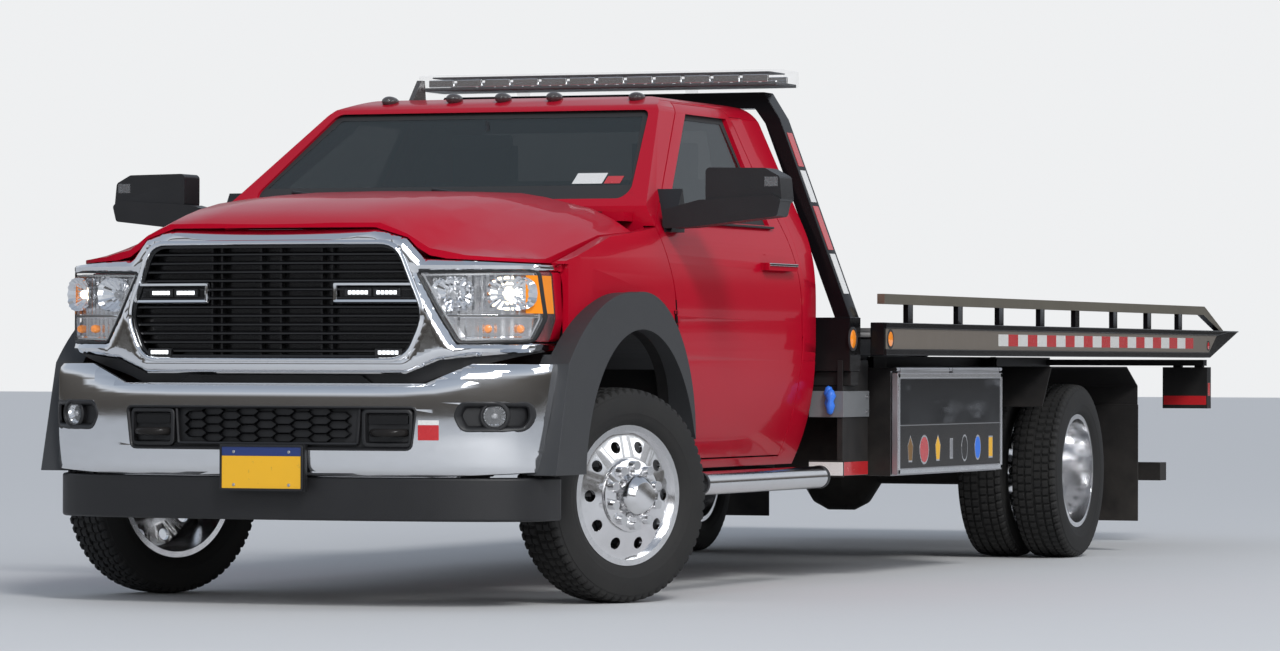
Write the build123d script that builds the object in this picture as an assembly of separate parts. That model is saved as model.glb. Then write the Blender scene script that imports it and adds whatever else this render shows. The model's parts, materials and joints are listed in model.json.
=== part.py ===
from build123d import *
from math import cos, radians, sin
import os

# Flatbed tow truck with a sliding, tilting bed. Millimetres.
# X points to the truck's left, Y to its rear, Z up. Lengths along Y are measured from the front axle line
# while the pieces are made, and the whole truck is moved at the end so that its origin is the middle of
# its footprint.

# Driving dimensions of the truck
WHEELBASE = 5194
FRONT_OVERHANG = 1065
REAR_OVERHANG = 2606
TAIL_Y = WHEELBASE + REAR_OVERHANG
AXLE_Z = 400

# Wheels and tyres
TYRE_RADIUS = 400
TYRE_WIDTH = 226
TREAD_WIDTH = 200
BEAD_RADIUS = 248
RIM_WIDTH = 178
FLANGE_RADIUS = 261
RIM_WALL = 9
FRONT_TYRE_X = 945
REAR_TYRE_X = 1060
TWIN_SPACING = 260
SEAT_GAP = 0.3
RUN_GAP = 0.05
MOVE_GAP = 6
HAND_HOLES = 10
HAND_HOLE_RADIUS = 22
HAND_HOLE_CIRCLE = 186
DISC_WALL = 14
HUB_NUTS = 10
HUB_NUT_CIRCLE = 112
HUB_NUT_RADIUS = 17
HUB_CAP_RADIUS = 62
FRONT_HUB_BORE = 31
REAR_HUB_BORE = 62

# Steering
KINGPIN_X = 900
STEER_REST = -25
KNUCKLE_ARM = 150
KNUCKLE_EYE = 26
TIE_ROD_RADIUS = 19

# Chassis
RAIL_OUTER = 432
RAIL_FLANGE = 80
RAIL_WEB = 9
RAIL_HEIGHT = 190
RAIL_TOP = 800
RAIL_FRONT = -940
RAIL_REAR = WHEELBASE + 1200
CYLINDER_Y = WHEELBASE - 2144
CROSSMEMBER_Y = (-700, 1150, 1900, 2350, CYLINDER_Y, WHEELBASE - 1294, WHEELBASE - 544, WHEELBASE + 286,
                 WHEELBASE + 1146)
MOUNT_HEIGHT = 60
MOUNT_FRONT = 2170
MOUNT_REAR = WHEELBASE + 1066

# Cab
CAB_FRONT = 440
CAB_BACK = 2146
CAB_FLOOR = 480
CAB_PAN = 830
CAB_TUNNEL = 560
CAB_ROOF = 1964
CAB_WALL = 50
CAB_MOUNT_X = 392
CAB_MOUNT_Y = (880, 2040)
CAB_MOUNT_RADIUS = 36
CAB_CORNER = 95
DOOR_GAP = 6
DOOR_SKIN = 25
DOOR_REBATE = 20
DOOR_TOP_X = 668
DOOR_SILL_X = 805
FENDER_SKIN = 45
HOOD_PIN_Y = 385
HOOD_PIN_Z = 1480
HOOD_PIN = 7
DOOR_PIN_X = 988
DOOR_PIN = 4
DOOR_PIN_TOP = (449, 1412)
DOOR_PIN_LOW = (560, 900)
DOOR_HINGE_Z = (920, 1060)

# Bed
BED_HALF = 1200
BED_FRONT = 2330
SIDE_RAIL_WIDTH = 62
SIDE_RAIL_BOTTOM = 925
SIDE_RAIL_TOP = 1061
DECK_TOP = 1030
DECK_PLATE = 8
DECK_RIBS = 14
BED_BEAM_X = 360
BED_BEAM_WIDTH = 60
BED_BEAM_BOTTOM = 930
TAIL_WEDGE_Y = TAIL_Y - 510
TILT_Y = WHEELBASE + 1106
TILT_BEAM_X = 290
TILT_BEAM_WIDTH = 80
TILT_BOTTOM = 865
TILT_TOP = 925
TILT_FRONT = 2420
TAIL_BAR_Y = TAIL_Y - 430
GUARD_RAIL_X = BED_HALF - 50
GUARD_RAIL_BOTTOM = 1138
GUARD_RAIL_TOP = 1180
GUARD_RAIL_END = TAIL_Y - 520
GUARD_POSTS = [TAIL_Y - back for back in (5041, 4375, 3800, 3197, 2660, 2051, 1481, 940)]

WINCH_Y = 2560
WINCH_Z = 1150
WINCH_PAD = 8

# Hoop and light bar behind the cab
HOOP_Y = 2245
HOOP_DEPTH = 110
HOOP_WIDTH = 62
HOOP_FOOT_X = 1100
HOOP_FOOT_Z = 1080
HOOP_TOP_X = 790
HOOP_TOP_Z = 2010

# Underbody boxes
TOOLBOX_OUTER = 1190
TOOLBOX_INNER = 650
TOOLBOX_FRONT = 2520
TOOLBOX_REAR = 3940
TOOLBOX_BOTTOM = 425
TOOLBOX_TOP = 862
TOOLBOX_WALL = 20
TOOLBOX_DOOR = 22
TOOLBOX_PIN_X = 1181
TOOLBOX_PIN_Z = 868
TOOLBOX_PIN = 5

# Wheel lift
BOOM_PIVOT_Y = TILT_Y
BOOM_PIVOT_Z = 520
BOOM_PIN = 15
STINGER_HALF = 50
STINGER_LOW = 325
STINGER_HIGH = 425
SWIVEL_Y = TAIL_Y - 400
SWIVEL_PIN = 25
CROSSBAR_HALF = 925
FORK_PIN_X = 870
FORK_PIN = 16

PARTS = {}


def keep(name, shape):
    """Store one sub-part, made in axle-line coordinates, under its node's name."""
    PARTS[name] = shape


def across(side, near, far):
    """The limits along X of a span on one side of the truck, low one first."""
    return sorted((side * near, side * far))


def mirrored(half):
    """A closed outline from the points of its right half, listed from the middle outwards and round."""
    return half + [(-x, z) for x, z in reversed(half)]


def block(x, y, z):
    """A box from its low and high limits along each axis."""
    size = [high - low for low, high in (x, y, z)]
    centre = [(high + low) / 2 for low, high in (x, y, z)]
    return Pos(*centre) * Box(*size)


def rod(start, end, radius, bore=0):
    """A round bar, or a tube with a bore, between two points."""
    along = Vector(*end) - Vector(*start)
    plane = Plane(origin=start, z_dir=along)
    face = Circle(radius) - Circle(bore) if bore else Circle(radius)
    return extrude(plane * face, along.length)


def side_prism(points, x_low, x_high):
    """A prism along X whose outline is given as (y, z) points."""
    plane = Plane(origin=(x_low, 0, 0), x_dir=(0, 1, 0), z_dir=(1, 0, 0))
    return extrude(plane * make_face(Polyline(*points, close=True)), x_high - x_low)


def front_prism(points, y_low, y_high):
    """A prism along Y whose outline is given as (x, z) points."""
    plane = Plane(origin=(0, y_high, 0), x_dir=(1, 0, 0), z_dir=(0, -1, 0))
    return extrude(plane * make_face(Polyline(*points, close=True)), y_high - y_low)


def plan_prism(points, z_low, z_high):
    """A prism along Z whose outline is given as (x, y) points."""
    return extrude(Pos(0, 0, z_low) * make_face(Polyline(*points, close=True)), z_high - z_low)


def rounded_front(points, radius, y_low, y_high):
    """A prism along Y whose (x, z) outline has its corners rounded."""
    face = make_face(Polyline(*points, close=True))
    plane = Plane(origin=(0, y_high, 0), x_dir=(1, 0, 0), z_dir=(0, -1, 0))
    return extrude(plane * fillet(face.vertices(), radius), y_high - y_low)


def eased(points):
    """An open line of points with its corners cut twice, which makes it a close run to a smooth curve."""
    for _ in range(2):
        cut = [points[0]]
        for (x0, y0), (x1, y1) in zip(points, points[1:]):
            cut.append((0.75 * x0 + 0.25 * x1, 0.75 * y0 + 0.25 * y1))
            cut.append((0.25 * x0 + 0.75 * x1, 0.25 * y0 + 0.75 * y1))
        points = cut + [points[-1]]
    return points


def lathe_x(points, x_centre=0, y=0, z=AXLE_Z):
    """A turned piece about a line along X, from (x, radius) points."""
    face = make_face(Polyline(*points, close=True))
    return Pos(x_centre, y, z) * revolve(face, Axis.X)


def tyre(x_centre, y):
    """One tyre: crowned tread, bulged sidewalls and a hollow inside."""
    bead = RIM_WIDTH / 2 - SEAT_GAP
    seat = BEAD_RADIUS + SEAT_GAP
    tread = TREAD_WIDTH / 2
    outer = [
        Line((-bead, seat), (-bead, FLANGE_RADIUS + 3)),
        ThreePointArc((-bead, FLANGE_RADIUS + 3), (-TYRE_WIDTH / 2, 325), (-tread, 385)),
        Line((-tread, 385), (-tread + 14, 396)),
        ThreePointArc((-tread + 14, 396), (0, TYRE_RADIUS), (tread - 14, 396)),
        Line((tread - 14, 396), (tread, 385)),
        ThreePointArc((tread, 385), (TYRE_WIDTH / 2, 325), (bead, FLANGE_RADIUS + 3)),
        Line((bead, FLANGE_RADIUS + 3), (bead, seat)),
        Line((bead, seat), (bead - 20, seat)),
        ThreePointArc((bead - 20, seat), (0, 378), (-bead + 20, seat)),
        Line((-bead + 20, seat), (-bead, seat)),
    ]
    return Pos(x_centre, y, AXLE_Z) * revolve(make_face(outer), Axis.X)


def wheel(x_centre, y, side, dish):
    """A disc wheel: rim barrel, flanges and a dished disc with hand holes; dish is the disc's offset."""
    half = RIM_WIDTH / 2
    lip = half + 3
    barrel_r = BEAD_RADIUS - RIM_WALL
    mount_x = side * dish
    ring_x = side * min(dish - 22, half - 12)
    barrel = lathe_x(
        [(-lip, barrel_r), (lip, barrel_r), (lip, FLANGE_RADIUS), (half, FLANGE_RADIUS),
         (half, BEAD_RADIUS), (-half, BEAD_RADIUS), (-half, FLANGE_RADIUS), (-lip, FLANGE_RADIUS)],
        x_centre, y)
    disc = lathe_x(
        [(mount_x, 75), (mount_x, 140), (ring_x, 222), (ring_x, barrel_r + 2),
         (ring_x - side * DISC_WALL, barrel_r + 2), (ring_x - side * DISC_WALL, 218),
         (mount_x - side * DISC_WALL, 136), (mount_x - side * DISC_WALL, 75)],
        x_centre, y)
    for number in range(HAND_HOLES):
        angle = radians(360 / HAND_HOLES * number)
        hole_y, hole_z = y + HAND_HOLE_CIRCLE * cos(angle), AXLE_Z + HAND_HOLE_CIRCLE * sin(angle)
        centre_x = x_centre + mount_x
        disc -= rod((centre_x - 80, hole_y, hole_z), (centre_x + 80, hole_y, hole_z), HAND_HOLE_RADIUS)
    return barrel + disc


def hub_cover(x_face, y, side, height):
    """The bright hub cover: stepped dome with a ring of nut covers and a plain cap."""
    cover = lathe_x(
        [(0, 0), (0, 138), (side * 14, 134), (side * 20, 84), (side * height * 0.7, 74),
         (side * height, HUB_CAP_RADIUS - 12), (side * height, 0)],
        x_face, y)
    for number in range(HUB_NUTS):
        angle = radians(360 / HUB_NUTS * (number + 0.5))
        nut_y, nut_z = y + HUB_NUT_CIRCLE * cos(angle), AXLE_Z + HUB_NUT_CIRCLE * sin(angle)
        cover += rod((x_face, nut_y, nut_z), (x_face + side * 46, nut_y, nut_z), HUB_NUT_RADIUS)
    return cover


# Front wheels, knuckles and tie rod: made straight ahead, then turned to the steering angle they park at
HUB_FACE_X = FRONT_TYRE_X + 96


def steered(shape, side):
    """Turn a piece about its kingpin to the parked steering angle."""
    pin = Location((side * KINGPIN_X, 0, 0))
    return pin * Rot(0, 0, STEER_REST) * pin.inverse() * shape


def knuckle(side):
    """Steering knuckle: kingpin barrel between the beam's jaws, spindle and rearward arm."""
    barrel = rod((side * KINGPIN_X, 0, AXLE_Z - 45), (side * KINGPIN_X, 0, AXLE_Z + 45), 34, 16.05)
    spindle_end = HUB_FACE_X - 30
    spindle = rod((side * (KINGPIN_X + 30), 0, AXLE_Z), (side * spindle_end, 0, AXLE_Z),
                  FRONT_HUB_BORE - RUN_GAP)
    plate = lathe_x([(0, 28), (0, 110), (-side * 8, 110), (-side * 8, 28)], side * (KINGPIN_X + 60), 0)
    arm_x = side * KINGPIN_X
    arm = block((arm_x - 24, arm_x + 24), (20, KNUCKLE_ARM), (AXLE_Z - 40, AXLE_Z - 18))
    arm += rod((arm_x, KNUCKLE_ARM, AXLE_Z - 40), (arm_x, KNUCKLE_ARM, AXLE_Z - 18), KNUCKLE_EYE)
    pin = rod((arm_x, KNUCKLE_ARM, AXLE_Z - 30), (arm_x, KNUCKLE_ARM, AXLE_Z + 34), 9)
    post = barrel + spindle + plate + arm
    return (post - rod((side * KINGPIN_X, 0, 0), (side * KINGPIN_X, 0, 800), 16.05)) + pin


for side, word in ((1, "left"), (-1, "right")):
    keep(f"knuckle_{word}", steered(knuckle(side), side))
    keep(f"tyre_front_{word}", steered(tyre(side * FRONT_TYRE_X, 0), side))
    front_wheel = wheel(side * FRONT_TYRE_X, 0, side, 96)
    front_wheel += hub_cover(side * HUB_FACE_X, 0, side, 88)
    front_wheel += lathe_x([(0, FRONT_HUB_BORE), (0, 82), (-side * 60, 82), (-side * 60, FRONT_HUB_BORE)],
                           side * HUB_FACE_X, 0)
    keep(f"wheel_front_{word}", steered(front_wheel, side))

    outer_x = side * REAR_TYRE_X
    inner_x = side * (REAR_TYRE_X - TWIN_SPACING)
    keep(f"tyre_rear_{word}", tyre(outer_x, WHEELBASE) + tyre(inner_x, WHEELBASE))
    mount_x = side * (REAR_TYRE_X - TWIN_SPACING / 2)
    rear_wheel = wheel(outer_x, WHEELBASE, -side, TWIN_SPACING / 2 - DISC_WALL)
    rear_wheel += wheel(inner_x, WHEELBASE, side, TWIN_SPACING / 2)
    rear_wheel += lathe_x(
        [(-side * 60, REAR_HUB_BORE), (-side * 60, 140), (side * 22, 140), (side * 22, 82),
         (side * 120, 66), (side * 128, 50), (side * 128, 0), (side * 110, 0), (side * 110, REAR_HUB_BORE)],
        mount_x, WHEELBASE)
    keep(f"wheel_rear_{word}", rear_wheel)

# Tie rod between the two arm pins, with an eye at each end
arm_angle = radians(STEER_REST)


def arm_pin(side):
    """Where the arm's pin is at the parked steering angle."""
    return side * KINGPIN_X - KNUCKLE_ARM * sin(arm_angle), KNUCKLE_ARM * cos(arm_angle)


pin_left, pin_right = arm_pin(1), arm_pin(-1)
TIE_Z = AXLE_Z + 8
tie = rod((pin_left[0], pin_left[1], TIE_Z), (pin_right[0], pin_right[1], TIE_Z), TIE_ROD_RADIUS)
for pin, bore in ((pin_left, 9.05), (pin_right, 10)):
    tie += rod((pin[0], pin[1], TIE_Z - 24), (pin[0], pin[1], TIE_Z + 24), 24)
    tie -= rod((pin[0], pin[1], TIE_Z - 40), (pin[0], pin[1], TIE_Z + 40), bore)
keep("tie_rod", tie)

# Front axle beam, dropped between its ends, with jaws and kingpins
beam_half = [(0, 300), (520, 300), (640, 330), (KINGPIN_X - 120, 330), (KINGPIN_X - 120, 470),
             (690, 470), (600, 400), (0, 400)]
beam = front_prism(beam_half, -40, 40)
beam_side = beam
for z_low, z_high in ((328, 353), (447, 472)):
    beam_side += rod((KINGPIN_X, 0, z_low), (KINGPIN_X, 0, z_high), 36)
    beam_side += block((KINGPIN_X - 125, KINGPIN_X), (-30, 30), (z_low, z_high))
beam_side += rod((KINGPIN_X, 0, 328), (KINGPIN_X, 0, 472), 16)
axle = beam_side + mirror(beam_side, about=Plane.YZ)
for x_arm in (-380, 380):
    arm_outline = [(30, 310), (30, 350), (210, 362), (860, 590), (860, 540), (250, 322)]
    axle += side_prism(arm_outline, x_arm - 20, x_arm + 20)
keep("front_axle", axle)

# Front springs: a coil's outline under each rail, and its damper
springs = []
coil_seat = 400.3
for side in (1, -1):
    for number in range(6):
        z = 402 + number * 30
        springs.append(Pos(side * 380, 0, z + 12) * Torus(62, 12))
    column = rod((side * 380, 0, coil_seat), (side * 380, 0, RAIL_TOP - RAIL_HEIGHT - 0.3), 56)
    springs.append(column)
front_springs = springs[0]
for piece in springs[1:]:
    front_springs += piece

# Chassis frame: two channel rails and their crossmembers
rail_low = RAIL_TOP - RAIL_HEIGHT
channel = [(RAIL_OUTER, rail_low), (RAIL_OUTER, RAIL_TOP), (RAIL_OUTER - RAIL_FLANGE, RAIL_TOP),
           (RAIL_OUTER - RAIL_FLANGE, RAIL_TOP - RAIL_WEB), (RAIL_OUTER - RAIL_WEB, RAIL_TOP - RAIL_WEB),
           (RAIL_OUTER - RAIL_WEB, rail_low + RAIL_WEB), (RAIL_OUTER - RAIL_FLANGE, rail_low + RAIL_WEB),
           (RAIL_OUTER - RAIL_FLANGE, rail_low)]
left_rail = front_prism(channel, RAIL_FRONT, RAIL_REAR)
frame = left_rail + mirror(left_rail, about=Plane.YZ)
for y in CROSSMEMBER_Y:
    frame += block((-RAIL_OUTER + RAIL_WEB / 2, RAIL_OUTER - RAIL_WEB / 2), (y - 30, y + 30),
                   (rail_low + 90, RAIL_TOP - RAIL_WEB))
for side in (1, -1):
    frame += rod((side * (RAIL_OUTER - 4), CYLINDER_Y, 640), (side * 610, CYLINDER_Y, 640), 20)
    for y in (WHEELBASE - 720, WHEELBASE + 720):
        frame += block(across(side, RAIL_OUTER - 4, 570), (y - 30, y + 30), (644.3, 700))
    plate = [(BOOM_PIVOT_Y + y, z) for y, z in ((-120, 720), (60, 720), (60, 470), (-60, 470))]
    frame += side_prism(plate, *across(side, 215, 235))
    frame += block(across(side, 215, RAIL_OUTER - 4), (BOOM_PIVOT_Y + 10, BOOM_PIVOT_Y + 70), (630, 690))
frame += rod((-235, BOOM_PIVOT_Y, BOOM_PIVOT_Z), (235, BOOM_PIVOT_Y, BOOM_PIVOT_Z), BOOM_PIN - RUN_GAP)
keep("chassis_frame", frame)

# Mounting frame on the rails, with the bed's pivot brackets and the hoop's crossbar
mount_top = RAIL_TOP + MOUNT_HEIGHT
mounting = block((RAIL_OUTER - RAIL_FLANGE, RAIL_OUTER), (MOUNT_FRONT, MOUNT_REAR), (RAIL_TOP, mount_top))
mounting += mirror(mounting, about=Plane.YZ)
mounting += block((-1100, 1100), (HOOP_Y - 45, HOOP_Y + 45), (RAIL_TOP, mount_top))
for side in (1, -1):
    ear_outline = [(TILT_Y - 90, RAIL_TOP), (TILT_Y + 80, RAIL_TOP), (TILT_Y + 30, 895), (TILT_Y - 30, 895)]
    ear = side_prism(ear_outline, *across(side, 370, 400))
    ear += rod((side * 370, TILT_Y, 895), (side * 400, TILT_Y, 895), 31)
    ear -= rod((side * 300, TILT_Y, 895), (side * 460, TILT_Y, 895), 25.05)
    mounting += ear
keep("mounting_frame", mounting)

# Rear axle: housing with a round differential, and brake backing plates
keep("rear_axle", lathe_x(
    [(-1035, 0), (-1035, REAR_HUB_BORE - RUN_GAP), (-860, REAR_HUB_BORE - RUN_GAP), (-860, 70), (-190, 70),
     (-120, 165), (-60, 195), (60, 195), (120, 165), (190, 70), (860, 70), (860, REAR_HUB_BORE - RUN_GAP),
     (1035, REAR_HUB_BORE - RUN_GAP), (1035, 0)], 0, WHEELBASE)
    + rod((0, WHEELBASE - 340, 430), (0, WHEELBASE, 410), 70))

# Leaf springs: arched packs, seated on the axle tubes by their saddles
leaf_low, leaf_high = 470, 545
leaf_faces = []
for count, (length, z) in enumerate(((720, 0), (600, 15), (480, 30), (340, 45))):
    rise = 70 * (length / 720) ** 2
    drop = 0 - z
    leaf_faces.append([(-length, 560 + rise + drop), (0, 560 + drop), (length, 560 + rise + drop),
                       (length, 574 + rise + drop), (0, 576 + drop), (-length, 574 + rise + drop)])
leaves = None
for outline in leaf_faces:
    low, high = outline[:3], outline[3:]
    ends = [Line(low[2], high[0]), Line(high[2], low[0])]
    face = make_face([ThreePointArc(*low), ThreePointArc(*high), *ends])
    plane = Plane(origin=(490, WHEELBASE, 0), x_dir=(0, 1, 0), z_dir=(1, 0, 0))
    leaf = extrude(plane * face, 75)
    leaves = leaf if leaves is None else leaves + leaf
leaves += block((490, 565), (WHEELBASE - 60, WHEELBASE + 60), (470.3, 560))
keep("springs", leaves + mirror(leaves, about=Plane.YZ) + front_springs)

# Engine, radiator, driveline, exhaust and tank
keep("engine_block", block((-300, 300), (-560, 330), (630, 1240))
     + block((-RAIL_OUTER + RAIL_WEB, RAIL_OUTER - RAIL_WEB), (-120, -40), (640, 740)))
driveline = rod((0, 330.3, 680), (0, 955, 680), 130)
shaft_middle = (0, WHEELBASE - 2134, 560)
driveline += rod((0, 950, 640), shaft_middle, 55)
driveline += rod(shaft_middle, (0, WHEELBASE - 345, 432), 55)
keep("driveline", driveline)
exhaust = rod((-240, 330.3, 660), (-240, 420, 660), 38) + Pos(-240, 420, 660) * Sphere(38)
exhaust += rod((-240, 420, 660), (-240, 1500, 540), 38) + rod((-240, 1500, 540), (-240, 2500, 540), 110)
exhaust += rod((-240, 2350, 600), (-240, 2350, 700), 8)
keep("exhaust", exhaust)
tank_front = WHEELBASE + 426
tank = fillet(block((-330, 330), (tank_front, tank_front + 580), (440, 606)).edges().filter_by(Axis.X), 60)
for y in (tank_front + 130, tank_front + 450):
    tank += block((-RAIL_OUTER, RAIL_OUTER), (y - 25, y + 25), (590, RAIL_TOP - RAIL_HEIGHT))
keep("fuel_tank", tank)


# Cab shell: three prisms crossed, then hollowed by the same prisms made smaller
def body_section(inset):
    """The cab's cross-section as (x, z) lines and arcs, moved inwards by the inset."""
    floor = CAB_FLOOR + inset
    pan = CAB_PAN + inset
    tunnel = CAB_TUNNEL + inset
    half = (
        # kind, then the (x, z) points after the first
        ("line", (tunnel, floor)),
        ("line", (862 - inset, floor)),
        ("arc", (958 - inset, 765), (985 - inset, 1060)),
        ("arc", (972 - inset, 1270), (930 - inset, 1410)),
        ("line", (715 - inset, 1880)),
        ("arc", (655 - inset, 1932 - inset), (560, 1948 - inset)),
    )
    edges = [Line((-tunnel, pan), (tunnel, pan)),
             ThreePointArc((-560, 1948 - inset), (0, CAB_ROOF - inset), (560, 1948 - inset))]
    for side in (1, -1):
        here = (side * tunnel, pan)
        for kind, *places in half:
            there = [(side * x, z) for x, z in places]
            edges.append(Line(here, *there) if kind == "line" else ThreePointArc(here, *there))
            here = there[-1]
    return make_face(edges)


def body_prism(inset, y_low, y_high):
    """The cross-section carried along the truck."""
    plane = Plane(origin=(0, y_high, 0), x_dir=(1, 0, 0), z_dir=(0, -1, 0))
    return extrude(plane * body_section(inset), y_high - y_low)


def cab_solid(inset):
    """The cab's closed outer form, or the same form moved inwards by the wall."""
    floor = CAB_FLOOR + inset
    body = body_prism(inset, CAB_FRONT + inset, CAB_BACK - inset)
    # Seen from the side: toe board, windscreen rake and roof line
    run = inset
    outline = [(CAB_FRONT + run, 1080), (CAB_FRONT + run, 1490), (1060 + run, 1905 - run / 3),
               (1250, 1950 - run), (1650, CAB_ROOF + 5 - run), (CAB_BACK, 1940 - run),
               (CAB_BACK, floor), (790 + run, floor)]
    body = body & side_prism(outline, -1100, 1100)
    # Seen from above: rounded rear corners
    corner = CAB_CORNER - inset / 2
    depth = CAB_BACK - inset
    plan = Pos(0, depth / 2, 1200) * Rectangle(1990 - 2 * inset, depth)
    rear = plan.vertices().sort_by(Axis.Y)[-2:]
    plan = fillet(rear, corner)
    return body & extrude(plan, 900, both=True)


cab_outer = cab_solid(0)
cab_shell = cab_outer - cab_solid(CAB_WALL)

# Door outline seen from the side, and its window
DOOR_OUTLINE = [(449, 1412), (522, 1132), (560, 900), (640, 700), (797, 517), (1941, 517), (1941, 900),
                (1905, 1290), (1825, 1683), (1815, 1925), (1271, 1925)]
WINDOW_OUTLINE = [(606, 1445), (1735, 1445), (1745, 1700), (1760, 1880), (1310, 1880)]


def door_prism(side, growth):
    """The door's outline as a prism through one cab side, grown or shrunk by half the gap."""
    face = offset(make_face(Polyline(*DOOR_OUTLINE, close=True)), growth, kind=Kind.INTERSECTION)
    plane = Plane(origin=(450 if side > 0 else -1100, 0, 0), x_dir=(0, 1, 0), z_dir=(1, 0, 0))
    edge = min(growth, DOOR_GAP / 2)
    wall_zone = front_prism([(side * x, z) for x, z in (
        (DOOR_TOP_X - edge, 2000), (1100, 2000), (1100, 400), (DOOR_SILL_X - edge, 400),
        (DOOR_SILL_X - edge, CAB_FLOOR + 80), (DOOR_TOP_X - edge, CAB_FLOOR + 220))], 300, 2300)
    return (extrude(plane * face, 650) & wall_zone) - body_prism(CAB_WALL + 8, 300, 2300)


openings = door_prism(1, DOOR_GAP / 2) + door_prism(-1, DOOR_GAP / 2)
cab_open = cab_shell - openings

# Windscreen and rear window openings, seen from the front, cut through their own walls
SCREEN = [(-806, 1520), (806, 1520), (672, 1886), (-672, 1886)]
SCREEN_ROUND = 40
screen_cut = rounded_front(SCREEN, SCREEN_ROUND, 200, 1300)
rear_cut = front_prism(mirrored([(560, 1480), (500, 1850)]), CAB_BACK - 120, CAB_BACK + 20)
pane = cab_solid(20) - cab_solid(26)
cab_glass = pane & screen_cut
cab_glass += pane & rear_cut
keep("cab_glass", cab_glass)
cab_open = cab_open - screen_cut - rear_cut

# The shell is split where its panels meet: roof, back, floor with sills, and front with the screen pillars
ROOF_SPLIT = 1890
BACK_SPLIT = 1948
FLOOR_SPLIT = 900
keep("cab_roof", cab_open & block((-1100, 1100), (300, 2300), (ROOF_SPLIT, 2100)))
keep("cab_back", cab_open & block((-1100, 1100), (BACK_SPLIT, 2300), (FLOOR_SPLIT, ROOF_SPLIT)))
floor_zone = block((-1100, 1100), (500, 2300), (300, FLOOR_SPLIT))
fender_zone = [(300, 1413), (452, 1413), (524, 1132), (562, 900), (642, 700), (799, 514), (799, 400),
               (300, 400)]
fender_cut = side_prism(fender_zone, 700, 1200) + side_prism(fender_zone, -1200, -700)
fender_cut &= body_prism(-5, 300, 800) - body_prism(FENDER_SKIN + 3, 200, 900)
cab_floor = (cab_open & floor_zone) - fender_cut
for x in (-CAB_MOUNT_X, CAB_MOUNT_X):
    for y in CAB_MOUNT_Y:
        cab_floor += rod((x, y, RAIL_TOP), (x, y, CAB_PAN + 5), CAB_MOUNT_RADIUS)
keep("cab_floor", cab_floor)
cowl = plan_prism(mirrored([(0, 368), (700, 340), (840, 345), (840, 445)]), 1430, 1462)
front_zone = block((-1100, 1100), (300, BACK_SPLIT - 200), (300, ROOF_SPLIT))
cab_front = (cab_open & front_zone) - floor_zone - fender_cut
for side in (1, -1):
    for x in (548, 600):
        cowl += side_prism([(371, 1455), (399, 1455), (397, HOOD_PIN_Z + 12), (373, HOOD_PIN_Z + 12)],
                           *across(side, x, x + 12))
    cowl += rod((side * 548, HOOD_PIN_Y, HOOD_PIN_Z), (side * 612, HOOD_PIN_Y, HOOD_PIN_Z), HOOD_PIN)
keep("cab_front", cab_front + cowl)


def pin_point(side, z):
    """A point of a door's hinge line, which leans with the seam ahead of the door."""
    lean = (DOOR_PIN_LOW[0] - DOOR_PIN_TOP[0]) / (DOOR_PIN_TOP[1] - DOOR_PIN_LOW[1])
    return side * DOOR_PIN_X, DOOR_PIN_TOP[0] + (DOOR_PIN_TOP[1] - z) * lean, z


def door_hinge(side, z):
    """One door hinge: the fixed leaves with their pin, the door's leaf, and the room to clear around each."""
    y = pin_point(side, z)[1]
    leaf_x = across(side, DOOR_PIN_X - 38, DOOR_PIN_X + 2)
    pin = rod(pin_point(side, z - 32), pin_point(side, z + 32), DOOR_PIN)
    fixed, fixed_room = pin, None
    for low, high in ((z - 32, z - 18), (z + 18, z + 32)):
        fixed += rod(pin_point(side, low), pin_point(side, high), DOOR_PIN + 4)
        fixed += block(leaf_x, (y - 22, y - 5), (low + 1, high - 1))
        room = rod(pin_point(side, low - 6), pin_point(side, high + 6), DOOR_PIN + 4 + MOVE_GAP)
        room += block(leaf_x, (y - 22, y + 1), (low - 5, high + 5))
        fixed_room = room if fixed_room is None else fixed_room + room
    knuckle_bore = rod(pin_point(side, z - 40), pin_point(side, z + 40), DOOR_PIN + RUN_GAP)
    moving = rod(pin_point(side, z - 12), pin_point(side, z + 12), DOOR_PIN + 4)
    moving += block(leaf_x, (y, y + 30), (z - 11, z + 11))
    moving_room = rod(pin_point(side, z - 18), pin_point(side, z + 18), DOOR_PIN + 4 + MOVE_GAP)
    moving_room += block(leaf_x, (y - MOVE_GAP, y + 20), (z - 17, z + 17))
    return fixed, moving - knuckle_bore, fixed_room, moving_room


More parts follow.
